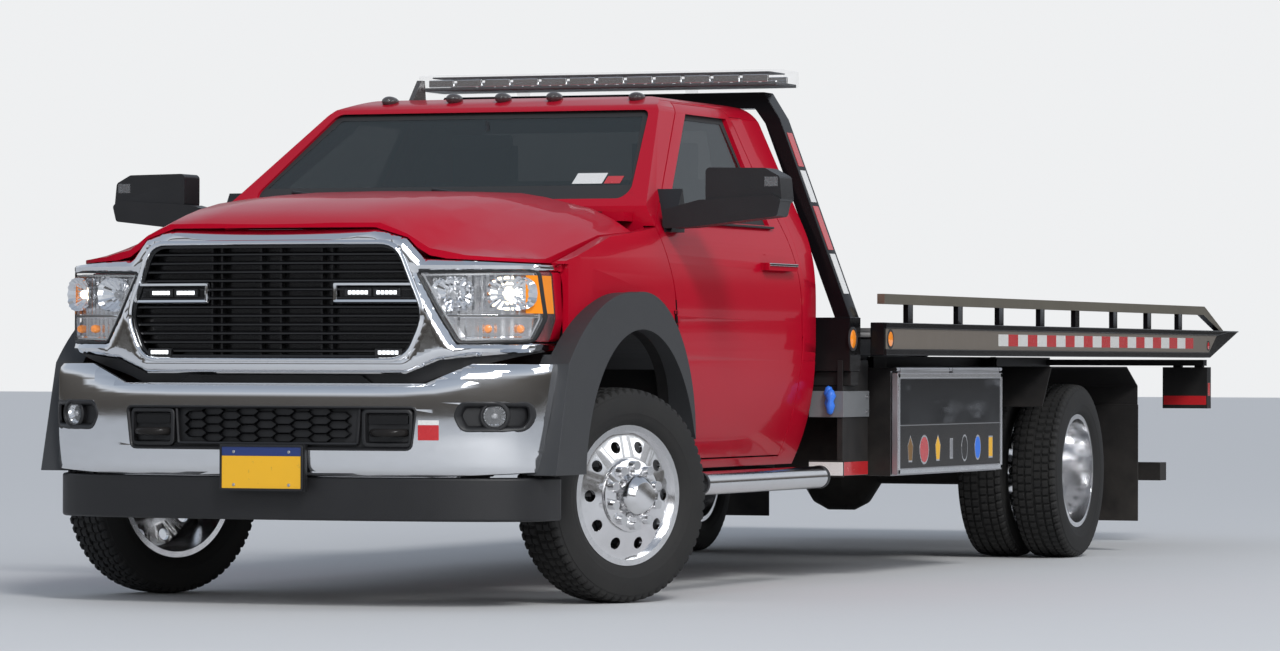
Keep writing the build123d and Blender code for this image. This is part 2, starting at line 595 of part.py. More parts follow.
# Doors: wall, window frame, handle and mirror, then the glass
MIRROR_HEAD = [(1105, 1505), (1105, 1636), (1345, 1632), (1405, 1600), (1415, 1500), (1300, 1495)]
MIRROR_ARM = [(935, 1405), (935, 1475), (1080, 1512), (1380, 1530), (1416, 1512), (1400, 1448), (1040, 1408)]
hinge_leaves, hinge_rooms = None, None
for side, word in ((1, "left"), (-1, "right")):
    low_x, high_x = across(side, 450, 1100)
    window = side_prism(WINDOW_OUTLINE, low_x, high_x)
    skin = (cab_shell - body_prism(DOOR_SKIN, 300, 2300)) & door_prism(side, -DOOR_GAP / 2)
    door = skin + (cab_shell & door_prism(side, -DOOR_GAP / 2 - DOOR_REBATE)) - window
    handle = block(across(side, 955, 1006), (1490, 1510), (1262, 1292))
    handle += block(across(side, 955, 1006), (1790, 1810), (1262, 1292))
    handle += block(across(side, 990, 1006), (1485, 1820), (1262, 1292))
    for z in DOOR_HINGE_Z:
        fixed, moving, fixed_room, moving_room = door_hinge(side, z)
        door = (door - fixed_room) + moving
        hinge_leaves = fixed if hinge_leaves is None else hinge_leaves + fixed
        hinge_rooms = moving_room if hinge_rooms is None else hinge_rooms + moving_room
    keep(f"door_{word}", door + handle)
    pane_face = offset(make_face(Polyline(*WINDOW_OUTLINE, close=True)), -0.3, kind=Kind.INTERSECTION)
    pane_plane = Plane(origin=(low_x, 0, 0), x_dir=(0, 1, 0), z_dir=(1, 0, 0))
    keep(f"door_glass_{word}", pane & extrude(pane_plane * pane_face, 650))
    head = rounded_front([(side * x, z) for x, z in MIRROR_HEAD], 18, 520, 655)
    lower = rounded_front([(side * x, z) for x, z in MIRROR_ARM], 14, 505, 625)
    sail = side_prism([(520, 1392), (660, 1392), (680, 1450), (640, 1560), (600, 1500)],
                      *across(side, 860, 965))
    keep(f"mirror_{word}", (head + lower + sail) - cab_outer)

# Dashboard with the steering wheel, and the seats
dash = side_prism([(480, 1100), (480, 1390), (760, 1425), (930, 1370), (950, 1200), (880, 1100)], -860, 860)
column = rod((400, 900, 1240), (400, 1060, 1330), 28)
ring = Plane(origin=(400, 1060, 1330), z_dir=(0, 160, 90)) * Torus(190, 15)
spokes = Plane(origin=(400, 1060, 1330), z_dir=(0, 160, 90)) * Box(380, 40, 16)
keep("dashboard", ((dash + column + ring + spokes) & cab_solid(CAB_WALL + 0.3))
     - block((-1000, 1000), (300, 1200), (0, 1100)))
seats = None
for x in (-400, 0, 400):
    width = 250 if x else 130
    cushion_outline = [(1250, 880.3), (1250, 1130), (1280, 1150), (1760, 1110), (1780, 880.3)]
    back_outline = [(1770, 1080), (1660, 1120), (1840, 1640), (1930, 1640), (1930, 1080)]
    cushion = side_prism(cushion_outline, x - width, x + width)
    back = side_prism(back_outline, x - width, x + width)
    seat = cushion + back
    if x:
        seat += block((x - 130, x + 130), (1850, 1930), (1640, 1790))
    seats = seat if seats is None else seats + seat
keep("seats", seats & cab_solid(CAB_WALL + 0.3))

# Hood: a thin shell lofted over four sections, trimmed in plan
HOOD_SKIN = 26
HOOD_EDGE_X = 900
HOOD_X = (0, 250, 420, 520, 600, 720, 820, HOOD_EDGE_X)
HOOD_SECTIONS = (
    # y, then the heights at each of HOOD_X
    (-1000, (1382, 1382, 1376, 1340, 1288, 1264, 1256, 1248)),
    (-930, (1418, 1416, 1404, 1356, 1300, 1270, 1260, 1252)),
    (-830, (1446, 1443, 1430, 1384, 1326, 1284, 1268, 1258)),
    (-720, (1472, 1468, 1454, 1410, 1356, 1306, 1280, 1262)),
    (-560, (1498, 1494, 1480, 1440, 1394, 1346, 1308, 1268)),
    (-300, (1522, 1518, 1506, 1476, 1440, 1398, 1356, 1320)),
    (-60, (1538, 1535, 1525, 1503, 1478, 1444, 1406, 1366)),
    (395, (1548, 1547, 1541, 1526, 1508, 1482, 1442, 1395)),
)


def hood_section(y, heights):
    """One closed section of the hood: its top line and the same line a skin's thickness below."""
    half = list(zip(HOOD_X, heights))
    top = [(-x, z) for x, z in reversed(half[1:])] + half
    under = [(x, z - HOOD_SKIN) for x, z in reversed(top)]
    plane = Plane(origin=(0, y, 0), x_dir=(1, 0, 0), z_dir=(0, -1, 0))
    return plane * make_face(Polyline(*top, *under, close=True))


hood = loft([hood_section(y, heights) for y, heights in HOOD_SECTIONS], ruled=True)
HOOD_FRONT_EDGE = eased([(-HOOD_EDGE_X, -520), (-HOOD_EDGE_X + 6, -740), (-800, -850), (-590, -935),
                         (-200, -985), (200, -985), (590, -935), (800, -850), (HOOD_EDGE_X - 6, -740),
                         (HOOD_EDGE_X, -520)])
HOOD_PLAN = HOOD_FRONT_EDGE + [(HOOD_EDGE_X, 270), (700, 330), (0, 360), (-700, 330), (-HOOD_EDGE_X, 270)]
nose_line = mirrored([(402, 1377), (523, 1340), (590, 1267), (950, 1250), (950, 1000)])
hood = (hood & plan_prism(HOOD_PLAN, 1000, 1700)) - front_prism(nose_line, -1200, -480)
for side in (1, -1):
    hinge_x = across(side, 566, 594)
    arm_outline = [(290, 1468), (290, 1488), (HOOD_PIN_Y, HOOD_PIN_Z + 13), (HOOD_PIN_Y, HOOD_PIN_Z - 13)]
    hood += side_prism(arm_outline, *hinge_x)
    hood += rod((hinge_x[0], HOOD_PIN_Y, HOOD_PIN_Z), (hinge_x[1], HOOD_PIN_Y, HOOD_PIN_Z), 13)
hood -= rod((-700, HOOD_PIN_Y, HOOD_PIN_Z), (700, HOOD_PIN_Y, HOOD_PIN_Z), HOOD_PIN + RUN_GAP)
keep("hood", hood)

# Front fenders with the wheel opening
ARCH_Y = 50
ARCH_Z = 460
ARCH_RADIUS = 556
FLARE_X = 1040
fender_outline = [(-592, 490), (-592, 893), (-640, 893), (-560, 1225), (-520, 1262), (-60, 1360), (270, 1388),
                  (447, 1407), (516, 1132), (554, 900), (634, 697), (791, 508), (791, 490)]
arch = rod((-1200, ARCH_Y, ARCH_Z), (1200, ARCH_Y, ARCH_Z), ARCH_RADIUS)
arch += block((-1200, 1200), (ARCH_Y - ARCH_RADIUS, ARCH_Y + ARCH_RADIUS), (100, ARCH_Z))
fender_form = body_prism(0, -700, 800)
fender_plan = mirrored([(955, -640), (978, -300), (985, 100), (985, 800)])
shell = (fender_form - body_prism(FENDER_SKIN, -800, 900)) & plan_prism(fender_plan, 400, 1420)
lamp_zone = None
for side in (1, -1):
    corner_plan = [(side * x, y) for x, y in ((1000, -500), (940, -500), (850, -700), (1000, -700))]
    corner = plan_prism(corner_plan, 893, 1250)
    lamp_zone = corner if lamp_zone is None else lamp_zone + corner
flare_face = make_face([
    Line((595, 600), (578, 628)),
    ThreePointArc((578, 628), (ARCH_Y, ARCH_Z + ARCH_RADIUS), (-505.4, 486)),
    Line((-505.4, 486), (-790, 486)),
    Line((-790, 486), (-674, 887)),
    ThreePointArc((-674, 887), (-430, 1065), (-20, 1152)),
    ThreePointArc((-20, 1152), (470, 960), (595, 600)),
])
fenders, flares = None, None
for side in (1, -1):
    low_x, high_x = across(side, 700, 1100)
    skin = (shell & side_prism(fender_outline, low_x, high_x)) - arch - lamp_zone
    skin -= block((-HOOD_EDGE_X - MOVE_GAP, HOOD_EDGE_X + MOVE_GAP), (-900, 340), (1180, 1600))
    shelf_outline = [(-520, 1222), (-60, 1320), (270, 1350), (430, 1350), (430, 1380), (270, 1380),
                     (-60, 1352), (-520, 1254)]
    shelf = side_prism(shelf_outline, *across(side, HOOD_EDGE_X + MOVE_GAP, HOOD_EDGE_X + 45))
    fender = skin + (shelf & fender_form)
    flare_x = across(side, 925, FLARE_X)
    flare = extrude(Plane(origin=(flare_x[0], 0, 0), x_dir=(0, 1, 0), z_dir=(1, 0, 0)) * flare_face,
                    FLARE_X - 925)
    flare = flare - (fender_form & plan_prism(fender_plan, 400, 1420))
    liner = rod((side * 520, ARCH_Y, ARCH_Z), (side * 960, ARCH_Y, ARCH_Z), ARCH_RADIUS + 8, ARCH_RADIUS)
    flare += liner & block((-1200, 1200), (-560, 430), (620, 1100)) & body_prism(FENDER_SKIN, -800, 900)
    fenders = fender if fenders is None else fenders + fender
    flares = flare if flares is None else flares + flare
keep("front_fenders", (fenders - hinge_rooms) + hinge_leaves)
keep("fender_flares", flares)
flare_clear = None
for side in (1, -1):
    zone_outline = [(-793, 480), (-677, 891), (-500, 960), (-400, 900), (-400, 480)]
    zone = side_prism(zone_outline, *across(side, 925, 1100))
    flare_clear = zone if flare_clear is None else flare_clear + zone

# Front fascia pieces share one plan curve, cut to thickness bands
FASCIA_CURVE = [(-985, -560), (-968, -668), (-862, -838), (-610, -948), (0, -1012), (610, -948), (862, -838),
                (968, -668), (985, -560)]


def fascia_band(set_back, thickness):
    """A vertical band that follows the front's plan curve."""
    outer = eased([(x, y + set_back) for x, y in FASCIA_CURVE])
    inner = [(x * (1 - thickness / 1000), y + thickness) for x, y in reversed(outer)]
    return plan_prism(outer + inner, 300, 1500)


GRILLE_TOP, GRILLE_BOTTOM = 1316, 905
GRILLE_ROUND = 48
grille_outline = mirrored([(490, GRILLE_TOP), (590, 1060), (525, GRILLE_BOTTOM)])
surround_outline = mirrored([(400, 1372), (520, 1335), (585, 1262), (940, 1245), (940, 1222), (560, 1216),
                             (640, 1060), (700, 960), (930, 960), (930, 930), (640, 900), (520, 850)])
surround = rounded_front(surround_outline, 9, -1200, -300) & fascia_band(-20, 60)
surround_profile = [(-1100, 800), (-1100, 1318), (-1012, 1322), (-972, 1380), (-300, 1380), (-300, 800)]
surround &= side_prism(surround_profile, -1000, 1000)
keep("grille_surround", surround - rounded_front(grille_outline, GRILLE_ROUND, -1200, -300))
grille_inner = [(x * 0.999, z + (0.5 if z < 1000 else -0.5)) for x, z in grille_outline]
bars = None
for z in range(930, 1310, 46):
    bar = block((-700, 700), (-1200, -300), (z, z + 16))
    bars = bar if bars is None else bars + bar
frame_band = front_prism(grille_inner, -1200, -300) - front_prism([(x * 0.95, (z - 1100) * 0.93 + 1100)
                                                                   for x, z in grille_outline], -1300, -200)
grille_bars = (front_prism(grille_inner, -1200, -300) & bars) + frame_band
grille_bars += front_prism(grille_inner, -1200, -300) & (block((-8, 8), (-1200, -300), (905, 1316)))
grille_bars &= rounded_front(grille_outline, GRILLE_ROUND, -1200, -300)
keep("grille", grille_bars & fascia_band(4, 30))

lamps = []
for side in (1, -1):
    lamp = rounded_front([(side * 562, 1215.6), (side * 935, 1221.5), (side * 950, 1050), (side * 925, 968),
                          (side * 705, 962), (side * 645, 1062)], 16, -1200, -300)
    lamps.append(lamp & fascia_band(0, 90))
keep("headlamps", lamps[0] + lamps[1])

# Bumper: chrome band with openings, black insert, fog lamps, tow hooks and plate holder
bumper_plan = eased([(-1005, -600), (-993, -752), (-908, -884), (-630, -994), (0, -1050), (630, -994),
                     (908, -884), (993, -752), (1005, -600)])
INSERT_ROUND = 18
bumper_wall = [(x * 0.955, min(y + 45, bumper_plan[0][1])) for x, y in reversed(bumper_plan)]
bumper_band = plan_prism(bumper_plan + bumper_wall, 300, 900)
bumper_outline = mirrored([(600, 815), (760, 885), (1010, 885), (1010, 500), (600, 478)])
bumper_face = front_prism(bumper_outline, -1200, -300)
insert_opening = rounded_front([(-579, 729), (579, 729), (560, 578), (-560, 578)], INSERT_ROUND, -1200, -500)
fog_outline = [(712, 700), (735, 747), (955, 747), (962, 690), (940, 646), (740, 646)]
fog_outlines = [[(side * x, z) for x, z in fog_outline] for side in (1, -1)]
fog_openings = [rounded_front(outline, INSERT_ROUND, -1200, -500) for outline in fog_outlines]
bumper_profile = side_prism([(-1100, 560), (-1100, 780), (-1030, 860), (-1000, 900), (-300, 900), (-300, 470),
                             (-1020, 470), (-1048, 540)], -1100, 1100)
bumper = (bumper_band & bumper_face & bumper_profile) - insert_opening - fog_openings[0] - fog_openings[1]
keep("bumper", bumper - flare_clear)
inserts_front = insert_opening + fog_openings[0] + fog_openings[1]
insert_plan = [(x * 0.985, min(y + 22, bumper_plan[0][1])) for x, y in bumper_plan]
recessed = plan_prism(insert_plan + bumper_wall, 300, 900)
inserts = recessed & inserts_front
holder = block((-170, 170), (-FRONT_OVERHANG, -1000), (425, 595)) - plan_prism(bumper_plan, 300, 900)
keep("bumper_insert", (inserts - flare_clear) + holder)
dam_plan = eased([(-990, -620), (-978, -748), (-895, -862), (-610, -964), (0, -1006), (610, -964),
                  (895, -862), (978, -748), (990, -620)])
dam = plan_prism(dam_plan + [(x * 0.96, y + 40) for x, y in reversed(dam_plan)], 320, 478)
keep("air_dam", dam)
# Roof lamps and antenna fin
lamps = None
for x in (-519, -237, -24, 199, 553):
    z = 1946 if abs(x) > 400 else 1955
    lamp = Pos(x, 1190, z) * Sphere(30)
    lamp = lamp - cab_outer
    lamps = lamp if lamps is None else lamps + lamp
fin = side_prism([(1240, 1920), (1400, 1920), (1385, 2035), (1350, 2035)], -470, -450) - cab_outer
keep("roof_lamps", lamps + fin)

# Side steps under the doors
steps = None
for side in (1, -1):
    tube = rod((side * 1040, 610, 430), (side * 1040, 1990, 430), 45)
    for y in (900, 1700):
        tube += block(across(side, RAIL_OUTER + 0.3, 1040), (y - 25, y + 25), (415, 440))
        tube += block(across(side, RAIL_OUTER + 0.3, RAIL_OUTER + 12), (y - 25, y + 25), (415, 700))
    steps = tube if steps is None else steps + tube
keep("side_steps", steps)

# Hoop and light bar
leg = [(HOOP_FOOT_X, HOOP_FOOT_Z), (HOOP_TOP_X, 1900), (HOOP_TOP_X - 70, HOOP_TOP_Z), (0, HOOP_TOP_Z),
       (0, HOOP_TOP_Z - HOOP_WIDTH), (HOOP_TOP_X - 110, HOOP_TOP_Z - HOOP_WIDTH - 5), (HOOP_TOP_X - 64, 1880),
       (HOOP_FOOT_X - 68, HOOP_FOOT_Z)]
hoop = front_prism(leg, HOOP_Y - HOOP_DEPTH / 2, HOOP_Y + HOOP_DEPTH / 2)
hoop += block((905, 1105), (HOOP_Y - 70, HOOP_Y + 60), (MOUNT_HEIGHT + RAIL_TOP, HOOP_FOOT_Z))
keep("hoop", hoop + mirror(hoop, about=Plane.YZ))
bar = fillet(block((-820, 820), (HOOP_Y - 140, HOOP_Y + 140), (2032, 2100)).edges().filter_by(Axis.Z), 60)
bar += block((-400, -360), (HOOP_Y - 30, HOOP_Y + 30), (HOOP_TOP_Z, 2040))
bar += block((360, 400), (HOOP_Y - 30, HOOP_Y + 30), (HOOP_TOP_Z, 2040))
keep("light_bar", bar)

# Side panels between the cab and the toolboxes, hung from the mounting frame's crossbar
panels = None
for side in (1, -1):
    panel = block(across(side, 1050, 1075), (HOOP_Y - 75, HOOP_Y + 240), (430, 905))
    panel += block(across(side, 905, 1060), (HOOP_Y - 40, HOOP_Y + 40), (700, RAIL_TOP))
    panels = panel if panels is None else panels + panel

# Toolboxes: open-fronted boxes with a hinged front each, on hanger bars from the rails
for side, word in ((1, "left"), (-1, "right")):
    span = across(side, TOOLBOX_INNER, TOOLBOX_OUTER - TOOLBOX_DOOR - MOVE_GAP)
    hollow = across(side, TOOLBOX_INNER + TOOLBOX_WALL, TOOLBOX_OUTER)
    box_shell = block(span, (TOOLBOX_FRONT, TOOLBOX_REAR), (TOOLBOX_BOTTOM, TOOLBOX_TOP))
    box_shell -= block(hollow, (TOOLBOX_FRONT + TOOLBOX_WALL, TOOLBOX_REAR - TOOLBOX_WALL),
                       (TOOLBOX_BOTTOM + TOOLBOX_WALL, TOOLBOX_TOP - TOOLBOX_WALL))
    for y in (TOOLBOX_FRONT + 200, TOOLBOX_REAR - 200):
        box_shell += block(across(side, RAIL_OUTER, TOOLBOX_INNER + 5), (y - 30, y + 30), (700, 760))
    lid = block(across(side, TOOLBOX_OUTER - TOOLBOX_DOOR, TOOLBOX_OUTER),
                (TOOLBOX_FRONT + 4, TOOLBOX_REAR - 4), (TOOLBOX_BOTTOM + 4, TOOLBOX_TOP - 10))
    pin_x = side * TOOLBOX_PIN_X
    middle = (TOOLBOX_FRONT + TOOLBOX_REAR) / 2
    for low, high in ((TOOLBOX_FRONT, TOOLBOX_FRONT + 40), (middle - 20, middle + 20),
                      (TOOLBOX_REAR - 40, TOOLBOX_REAR)):
        box_shell += block(across(side, TOOLBOX_INNER + 400, TOOLBOX_PIN_X), (low, high),
                           (TOOLBOX_TOP - 2, TOOLBOX_PIN_Z + 6))
        box_shell += rod((pin_x, low, TOOLBOX_PIN_Z), (pin_x, high, TOOLBOX_PIN_Z), 9)
    box_shell += rod((pin_x, TOOLBOX_FRONT, TOOLBOX_PIN_Z), (pin_x, TOOLBOX_REAR, TOOLBOX_PIN_Z), TOOLBOX_PIN)
    for low, high in ((TOOLBOX_FRONT + 46, middle - 26), (middle + 26, TOOLBOX_REAR - 46)):
        lid += rod((pin_x, low, TOOLBOX_PIN_Z), (pin_x, high, TOOLBOX_PIN_Z), 9)
        lid += block(across(side, TOOLBOX_OUTER - 14, TOOLBOX_OUTER), (low, high),
                     (TOOLBOX_TOP - 14, TOOLBOX_PIN_Z - 2))
        lid -= rod((pin_x, low - 1, TOOLBOX_PIN_Z), (pin_x, high + 1, TOOLBOX_PIN_Z), TOOLBOX_PIN + RUN_GAP)
    boxes = box_shell if side > 0 else boxes + box_shell
    keep(f"toolbox_door_{word}", lid)

keep("toolboxes", boxes)

# Rear wheel guards with mudflaps
guards = panels - block((-1104, 1104), (HOOP_Y - 70.3, HOOP_Y + 60.3), (RAIL_TOP, 1080))
for side in (1, -1):
    outline = [(WHEELBASE + y, z) for y, z in (
        (-634, 700), (-494, 880), (706, 880), (886, 790), (886, 690), (880, 690), (880, 786), (704, 874),
        (-491, 874), (-628, 697))]
    guard = side_prism(outline, *across(side, 660, 1180))
    for y in (WHEELBASE - 444, WHEELBASE + 656):
        guard += block(across(side, RAIL_OUTER, 700), (y - 25, y + 25), (846, 874))
        guard -= block((-RAIL_OUTER, RAIL_OUTER), (y - 30, y + 30), (800, 900))
    guard += block(across(side, 690, 1185), (WHEELBASE + 872, WHEELBASE + 880), (145, 700))
    guards += guard
keep("body_panels", guards)

# Bed: deck with its beams, side rails, guard rails, winch
deck = block((-BED_HALF + SIDE_RAIL_WIDTH, BED_HALF - SIDE_RAIL_WIDTH), (BED_FRONT, TAIL_WEDGE_Y + 100),
             (DECK_TOP - DECK_PLATE, DECK_TOP))
DECK_HALF = BED_HALF - SIDE_RAIL_WIDTH
deck += side_prism([(TAIL_WEDGE_Y, DECK_TOP - DECK_PLATE), (TAIL_WEDGE_Y, DECK_TOP), (TAIL_Y, 1040),
                    (TAIL_Y, 1034)], -DECK_HALF, DECK_HALF)
for side in (1, -1):
    x_pair = across(side, BED_BEAM_X, BED_BEAM_X + BED_BEAM_WIDTH)
    deck += block(x_pair, (BED_FRONT, TAIL_WEDGE_Y), (BED_BEAM_BOTTOM, DECK_TOP - DECK_PLATE))
deck += block((-BED_HALF + SIDE_RAIL_WIDTH, BED_HALF - SIDE_RAIL_WIDTH), (BED_FRONT, WINCH_Y + 190),
              (DECK_TOP - DECK_PLATE, DECK_TOP + WINCH_PAD))
for number in range(DECK_RIBS):
    y = BED_FRONT + 30 + number * (TAIL_WEDGE_Y - BED_FRONT - 60) / (DECK_RIBS - 1)
    deck += block((-DECK_HALF, DECK_HALF), (y - 25, y + 25), (1000, DECK_TOP - 2))
SLIDE_Z = 958
SLIDE_ROD = 24
SLIDE_FRONT = TAIL_Y - 4400
SLIDE_REAR = TAIL_Y - 1400
deck += rod((0, SLIDE_FRONT + 10, SLIDE_Z), (0, SLIDE_REAR + 160, SLIDE_Z), SLIDE_ROD)
deck += block((-30, 30), (SLIDE_REAR + 140, SLIDE_REAR + 200), (SLIDE_Z - 25, DECK_TOP - DECK_PLATE + 2))
keep("bed_deck", deck)
rails = None
for side in (1, -1):
    outline = [(BED_FRONT, SIDE_RAIL_BOTTOM), (BED_FRONT, SIDE_RAIL_TOP), (TAIL_Y, SIDE_RAIL_TOP),
               (TAIL_Y, SIDE_RAIL_TOP - 8), (TAIL_WEDGE_Y, SIDE_RAIL_BOTTOM)]
    rail = side_prism(outline, *across(side, BED_HALF - SIDE_RAIL_WIDTH, BED_HALF))
    rails = rail if rails is None else rails + rail
keep("side_rails", rails)
guard_rails = None
for side in (1, -1):
    outline = [(2410, GUARD_RAIL_BOTTOM), (2410, GUARD_RAIL_TOP), (GUARD_RAIL_END, GUARD_RAIL_TOP),
               (TAIL_Y - 170, SIDE_RAIL_TOP + SEAT_GAP), (TAIL_Y - 240, SIDE_RAIL_TOP + SEAT_GAP),
               (GUARD_RAIL_END - 20, GUARD_RAIL_BOTTOM)]
    bar = side_prism(outline, *across(side, GUARD_RAIL_X - 10, GUARD_RAIL_X + 22))
    for y in GUARD_POSTS:
        bar += block(across(side, GUARD_RAIL_X - 5, GUARD_RAIL_X + 17), (y - 32, y + 32),
                     (SIDE_RAIL_TOP + SEAT_GAP, GUARD_RAIL_BOTTOM + 5))
    guard_rails = bar if guard_rails is None else guard_rails + bar
keep("guard_rails", guard_rails)
winch = rod((-170, WINCH_Y, WINCH_Z), (170, WINCH_Y, WINCH_Z), 70)
winch_foot = DECK_TOP + WINCH_PAD + SEAT_GAP
for low, high in ((-230, -165), (165, 230)):
    winch += block((low, high), (WINCH_Y - 110, WINCH_Y + 110), (winch_foot, WINCH_Z + 90))
winch += rod((230, WINCH_Y, WINCH_Z), (360, WINCH_Y, WINCH_Z), 55)
keep("winch", winch)

# Tilt frame: two beams, crossbars, pivot tube, lugs for the cylinders and the tail lamp brackets
tilt = None
for side in (1, -1):
    beam = block(across(side, TILT_BEAM_X - TILT_BEAM_WIDTH / 2, TILT_BEAM_X + TILT_BEAM_WIDTH / 2),
                 (TILT_FRONT, TAIL_BAR_Y + 30), (TILT_BOTTOM, TILT_TOP))
    tilt = beam if tilt is None else tilt + beam
tilt += rod((-410, TILT_Y, 895), (410, TILT_Y, 895), 25)
for y in (TILT_FRONT + 40, TILT_Y - 1100):
    tilt += block((-300, 300), (y - 30, y + 30), (870, 920))
LUG_Y = TILT_Y - 2350
tilt += block((-600, 600), (LUG_Y + 95, LUG_Y + 140), (870, 920))
for side in (1, -1):
    for x in (500, 582):
        tilt += block(across(side, x, x + 18), (LUG_Y - 35, LUG_Y + 100), (868, 922))
tilt += block((-1150, 1150), (TAIL_BAR_Y - 30, TAIL_BAR_Y + 30), (885, 915))
for side in (1, -1):
    for x in (990, 1100):
        tilt += block(across(side, x, x + 40), (TAIL_BAR_Y - 20, TAIL_BAR_Y + 20), (870, 890))
    tilt += block(across(side, 940, 1170), (TAIL_BAR_Y - 35, TAIL_BAR_Y + 35), (672, 878))
tilt += rod((0, SLIDE_FRONT, SLIDE_Z), (0, SLIDE_REAR, SLIDE_Z), 34)
for y in (SLIDE_FRONT + 40, SLIDE_REAR - 60):
    tilt += block((-300, 300), (y - 20, y + 20), (880, 920)) + block((-25, 25), (y - 20, y + 20), (915, 930))
tilt -= rod((0, SLIDE_FRONT - 10, SLIDE_Z), (0, SLIDE_REAR + 10, SLIDE_Z), SLIDE_ROD + RUN_GAP)
keep("tilt_frame", tilt)

# Tilt cylinders
BASE_Y, BASE_Z = CYLINDER_Y, 640
PISTON = 32
SHAFT = 24
EYE_Y, EYE_Z = LUG_Y, 895
run = Vector(0, EYE_Y - BASE_Y, EYE_Z - BASE_Z).normalized()
barrels, rods = None, None
for side in (1, -1):
    base = Vector(side * 550, BASE_Y, BASE_Z)
    eye = Vector(side * 550, EYE_Y, EYE_Z)
    tube_start, tube_end = base + run * 35, base + run * 640
    barrel = rod(tuple(tube_start), tuple(tube_end), 45, PISTON + RUN_GAP)
    barrel += rod(tuple(tube_start), tuple(base + run * 75), 45)
    barrel += rod(tuple(tube_end - run * 30), tuple(tube_end), 40, SHAFT + RUN_GAP)
    barrel += rod((side * 515, BASE_Y, BASE_Z), (side * 585, BASE_Y, BASE_Z), 38)
    barrel -= rod((side * 500, BASE_Y, BASE_Z), (side * 620, BASE_Y, BASE_Z), 20.05)
    shaft = rod(tuple(base + run * 110), tuple(eye - run * 20), SHAFT)
    shaft += rod(tuple(base + run * 110), tuple(base + run * 150), PISTON)
    shaft += rod((side * 530, EYE_Y, EYE_Z), (side * 568, EYE_Y, EYE_Z), 30)
    barrels = barrel if barrels is None else barrels + barrel
    rods = shaft if rods is None else rods + shaft
keep("tilt_barrels", barrels)
keep("tilt_rods", rods)

# Wheel lift: boom, stinger and crossbar
boom = side_prism([(BOOM_PIVOT_Y + y, z) for y, z in (
    (-50, 470), (-50, 570), (40, 570), (260, 440), (950, 440), (950, 310), (200, 310))], -70, 70)
boom += rod((-210, BOOM_PIVOT_Y, BOOM_PIVOT_Z), (210, BOOM_PIVOT_Y, BOOM_PIVOT_Z), 35)
boom -= block((-STINGER_HALF - RUN_GAP, STINGER_HALF + RUN_GAP), (BOOM_PIVOT_Y + 260, BOOM_PIVOT_Y + 960),
              (STINGER_LOW - RUN_GAP, STINGER_HIGH + RUN_GAP))
keep("lift_boom", boom - rod((-300, BOOM_PIVOT_Y, BOOM_PIVOT_Z), (300, BOOM_PIVOT_Y, BOOM_PIVOT_Z), BOOM_PIN))
stinger = block((-STINGER_HALF, STINGER_HALF), (BOOM_PIVOT_Y + 300, SWIVEL_Y - 20),
                (STINGER_LOW, STINGER_HIGH))
stinger += rod((0, SWIVEL_Y, STINGER_LOW), (0, SWIVEL_Y, STINGER_HIGH), 60)
stinger += rod((0, SWIVEL_Y, 285), (0, SWIVEL_Y, 465), SWIVEL_PIN)
keep("lift_stinger", stinger)
bar_y = (SWIVEL_Y - 55, SWIVEL_Y + 55)
crossbar = block((-160, 160), bar_y, (STINGER_HIGH + MOVE_GAP, 460))
crossbar += block((-160, 160), bar_y, (290, STINGER_LOW - MOVE_GAP))
crossbar -= rod((0, SWIVEL_Y, 200), (0, SWIVEL_Y, 600), SWIVEL_PIN + RUN_GAP)
for side in (1, -1):
    crossbar += block(across(side, 120, 160), bar_y, (290, 460))
    crossbar += block(across(side, 120, CROSSBAR_HALF), bar_y, (310, 400))
    crossbar -= rod((side * FORK_PIN_X, SWIVEL_Y, 200), (side * FORK_PIN_X, SWIVEL_Y, 600), FORK_PIN)
keep("lift_crossbar", crossbar)

os.makedirs("parts", exist_ok=True)
for name, shape in PARTS.items():
    export_step(Pos(0, FRONT_OVERHANG - (FRONT_OVERHANG + TAIL_Y) / 2, 0) * shape, f"parts/{name}.step")
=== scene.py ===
"""Looks of the flatbed tow truck: finishes, lamps, tread, trim and the studio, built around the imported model."""

import json
import math

import bmesh
import bpy
from mathutils import Matrix, Vector


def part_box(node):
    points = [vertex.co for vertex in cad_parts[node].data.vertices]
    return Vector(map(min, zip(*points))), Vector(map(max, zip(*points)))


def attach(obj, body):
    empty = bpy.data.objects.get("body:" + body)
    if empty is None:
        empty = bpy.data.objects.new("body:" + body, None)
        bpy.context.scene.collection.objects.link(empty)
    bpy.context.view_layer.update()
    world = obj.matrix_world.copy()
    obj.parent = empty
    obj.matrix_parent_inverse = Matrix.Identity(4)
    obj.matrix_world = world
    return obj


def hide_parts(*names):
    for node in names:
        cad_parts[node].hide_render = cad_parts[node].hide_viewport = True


bl_info = {
    "name": "Flatbed Tow Truck Looks",
    "version": (1, 0, 0),
    "blender": (4, 5, 0),
    "location": "View3D > Sidebar > Tow Truck",
    "description": "Builds the finishes, lamps, tread, trim and studio of a flatbed tow truck around its packed model",
    "category": "Object",
}

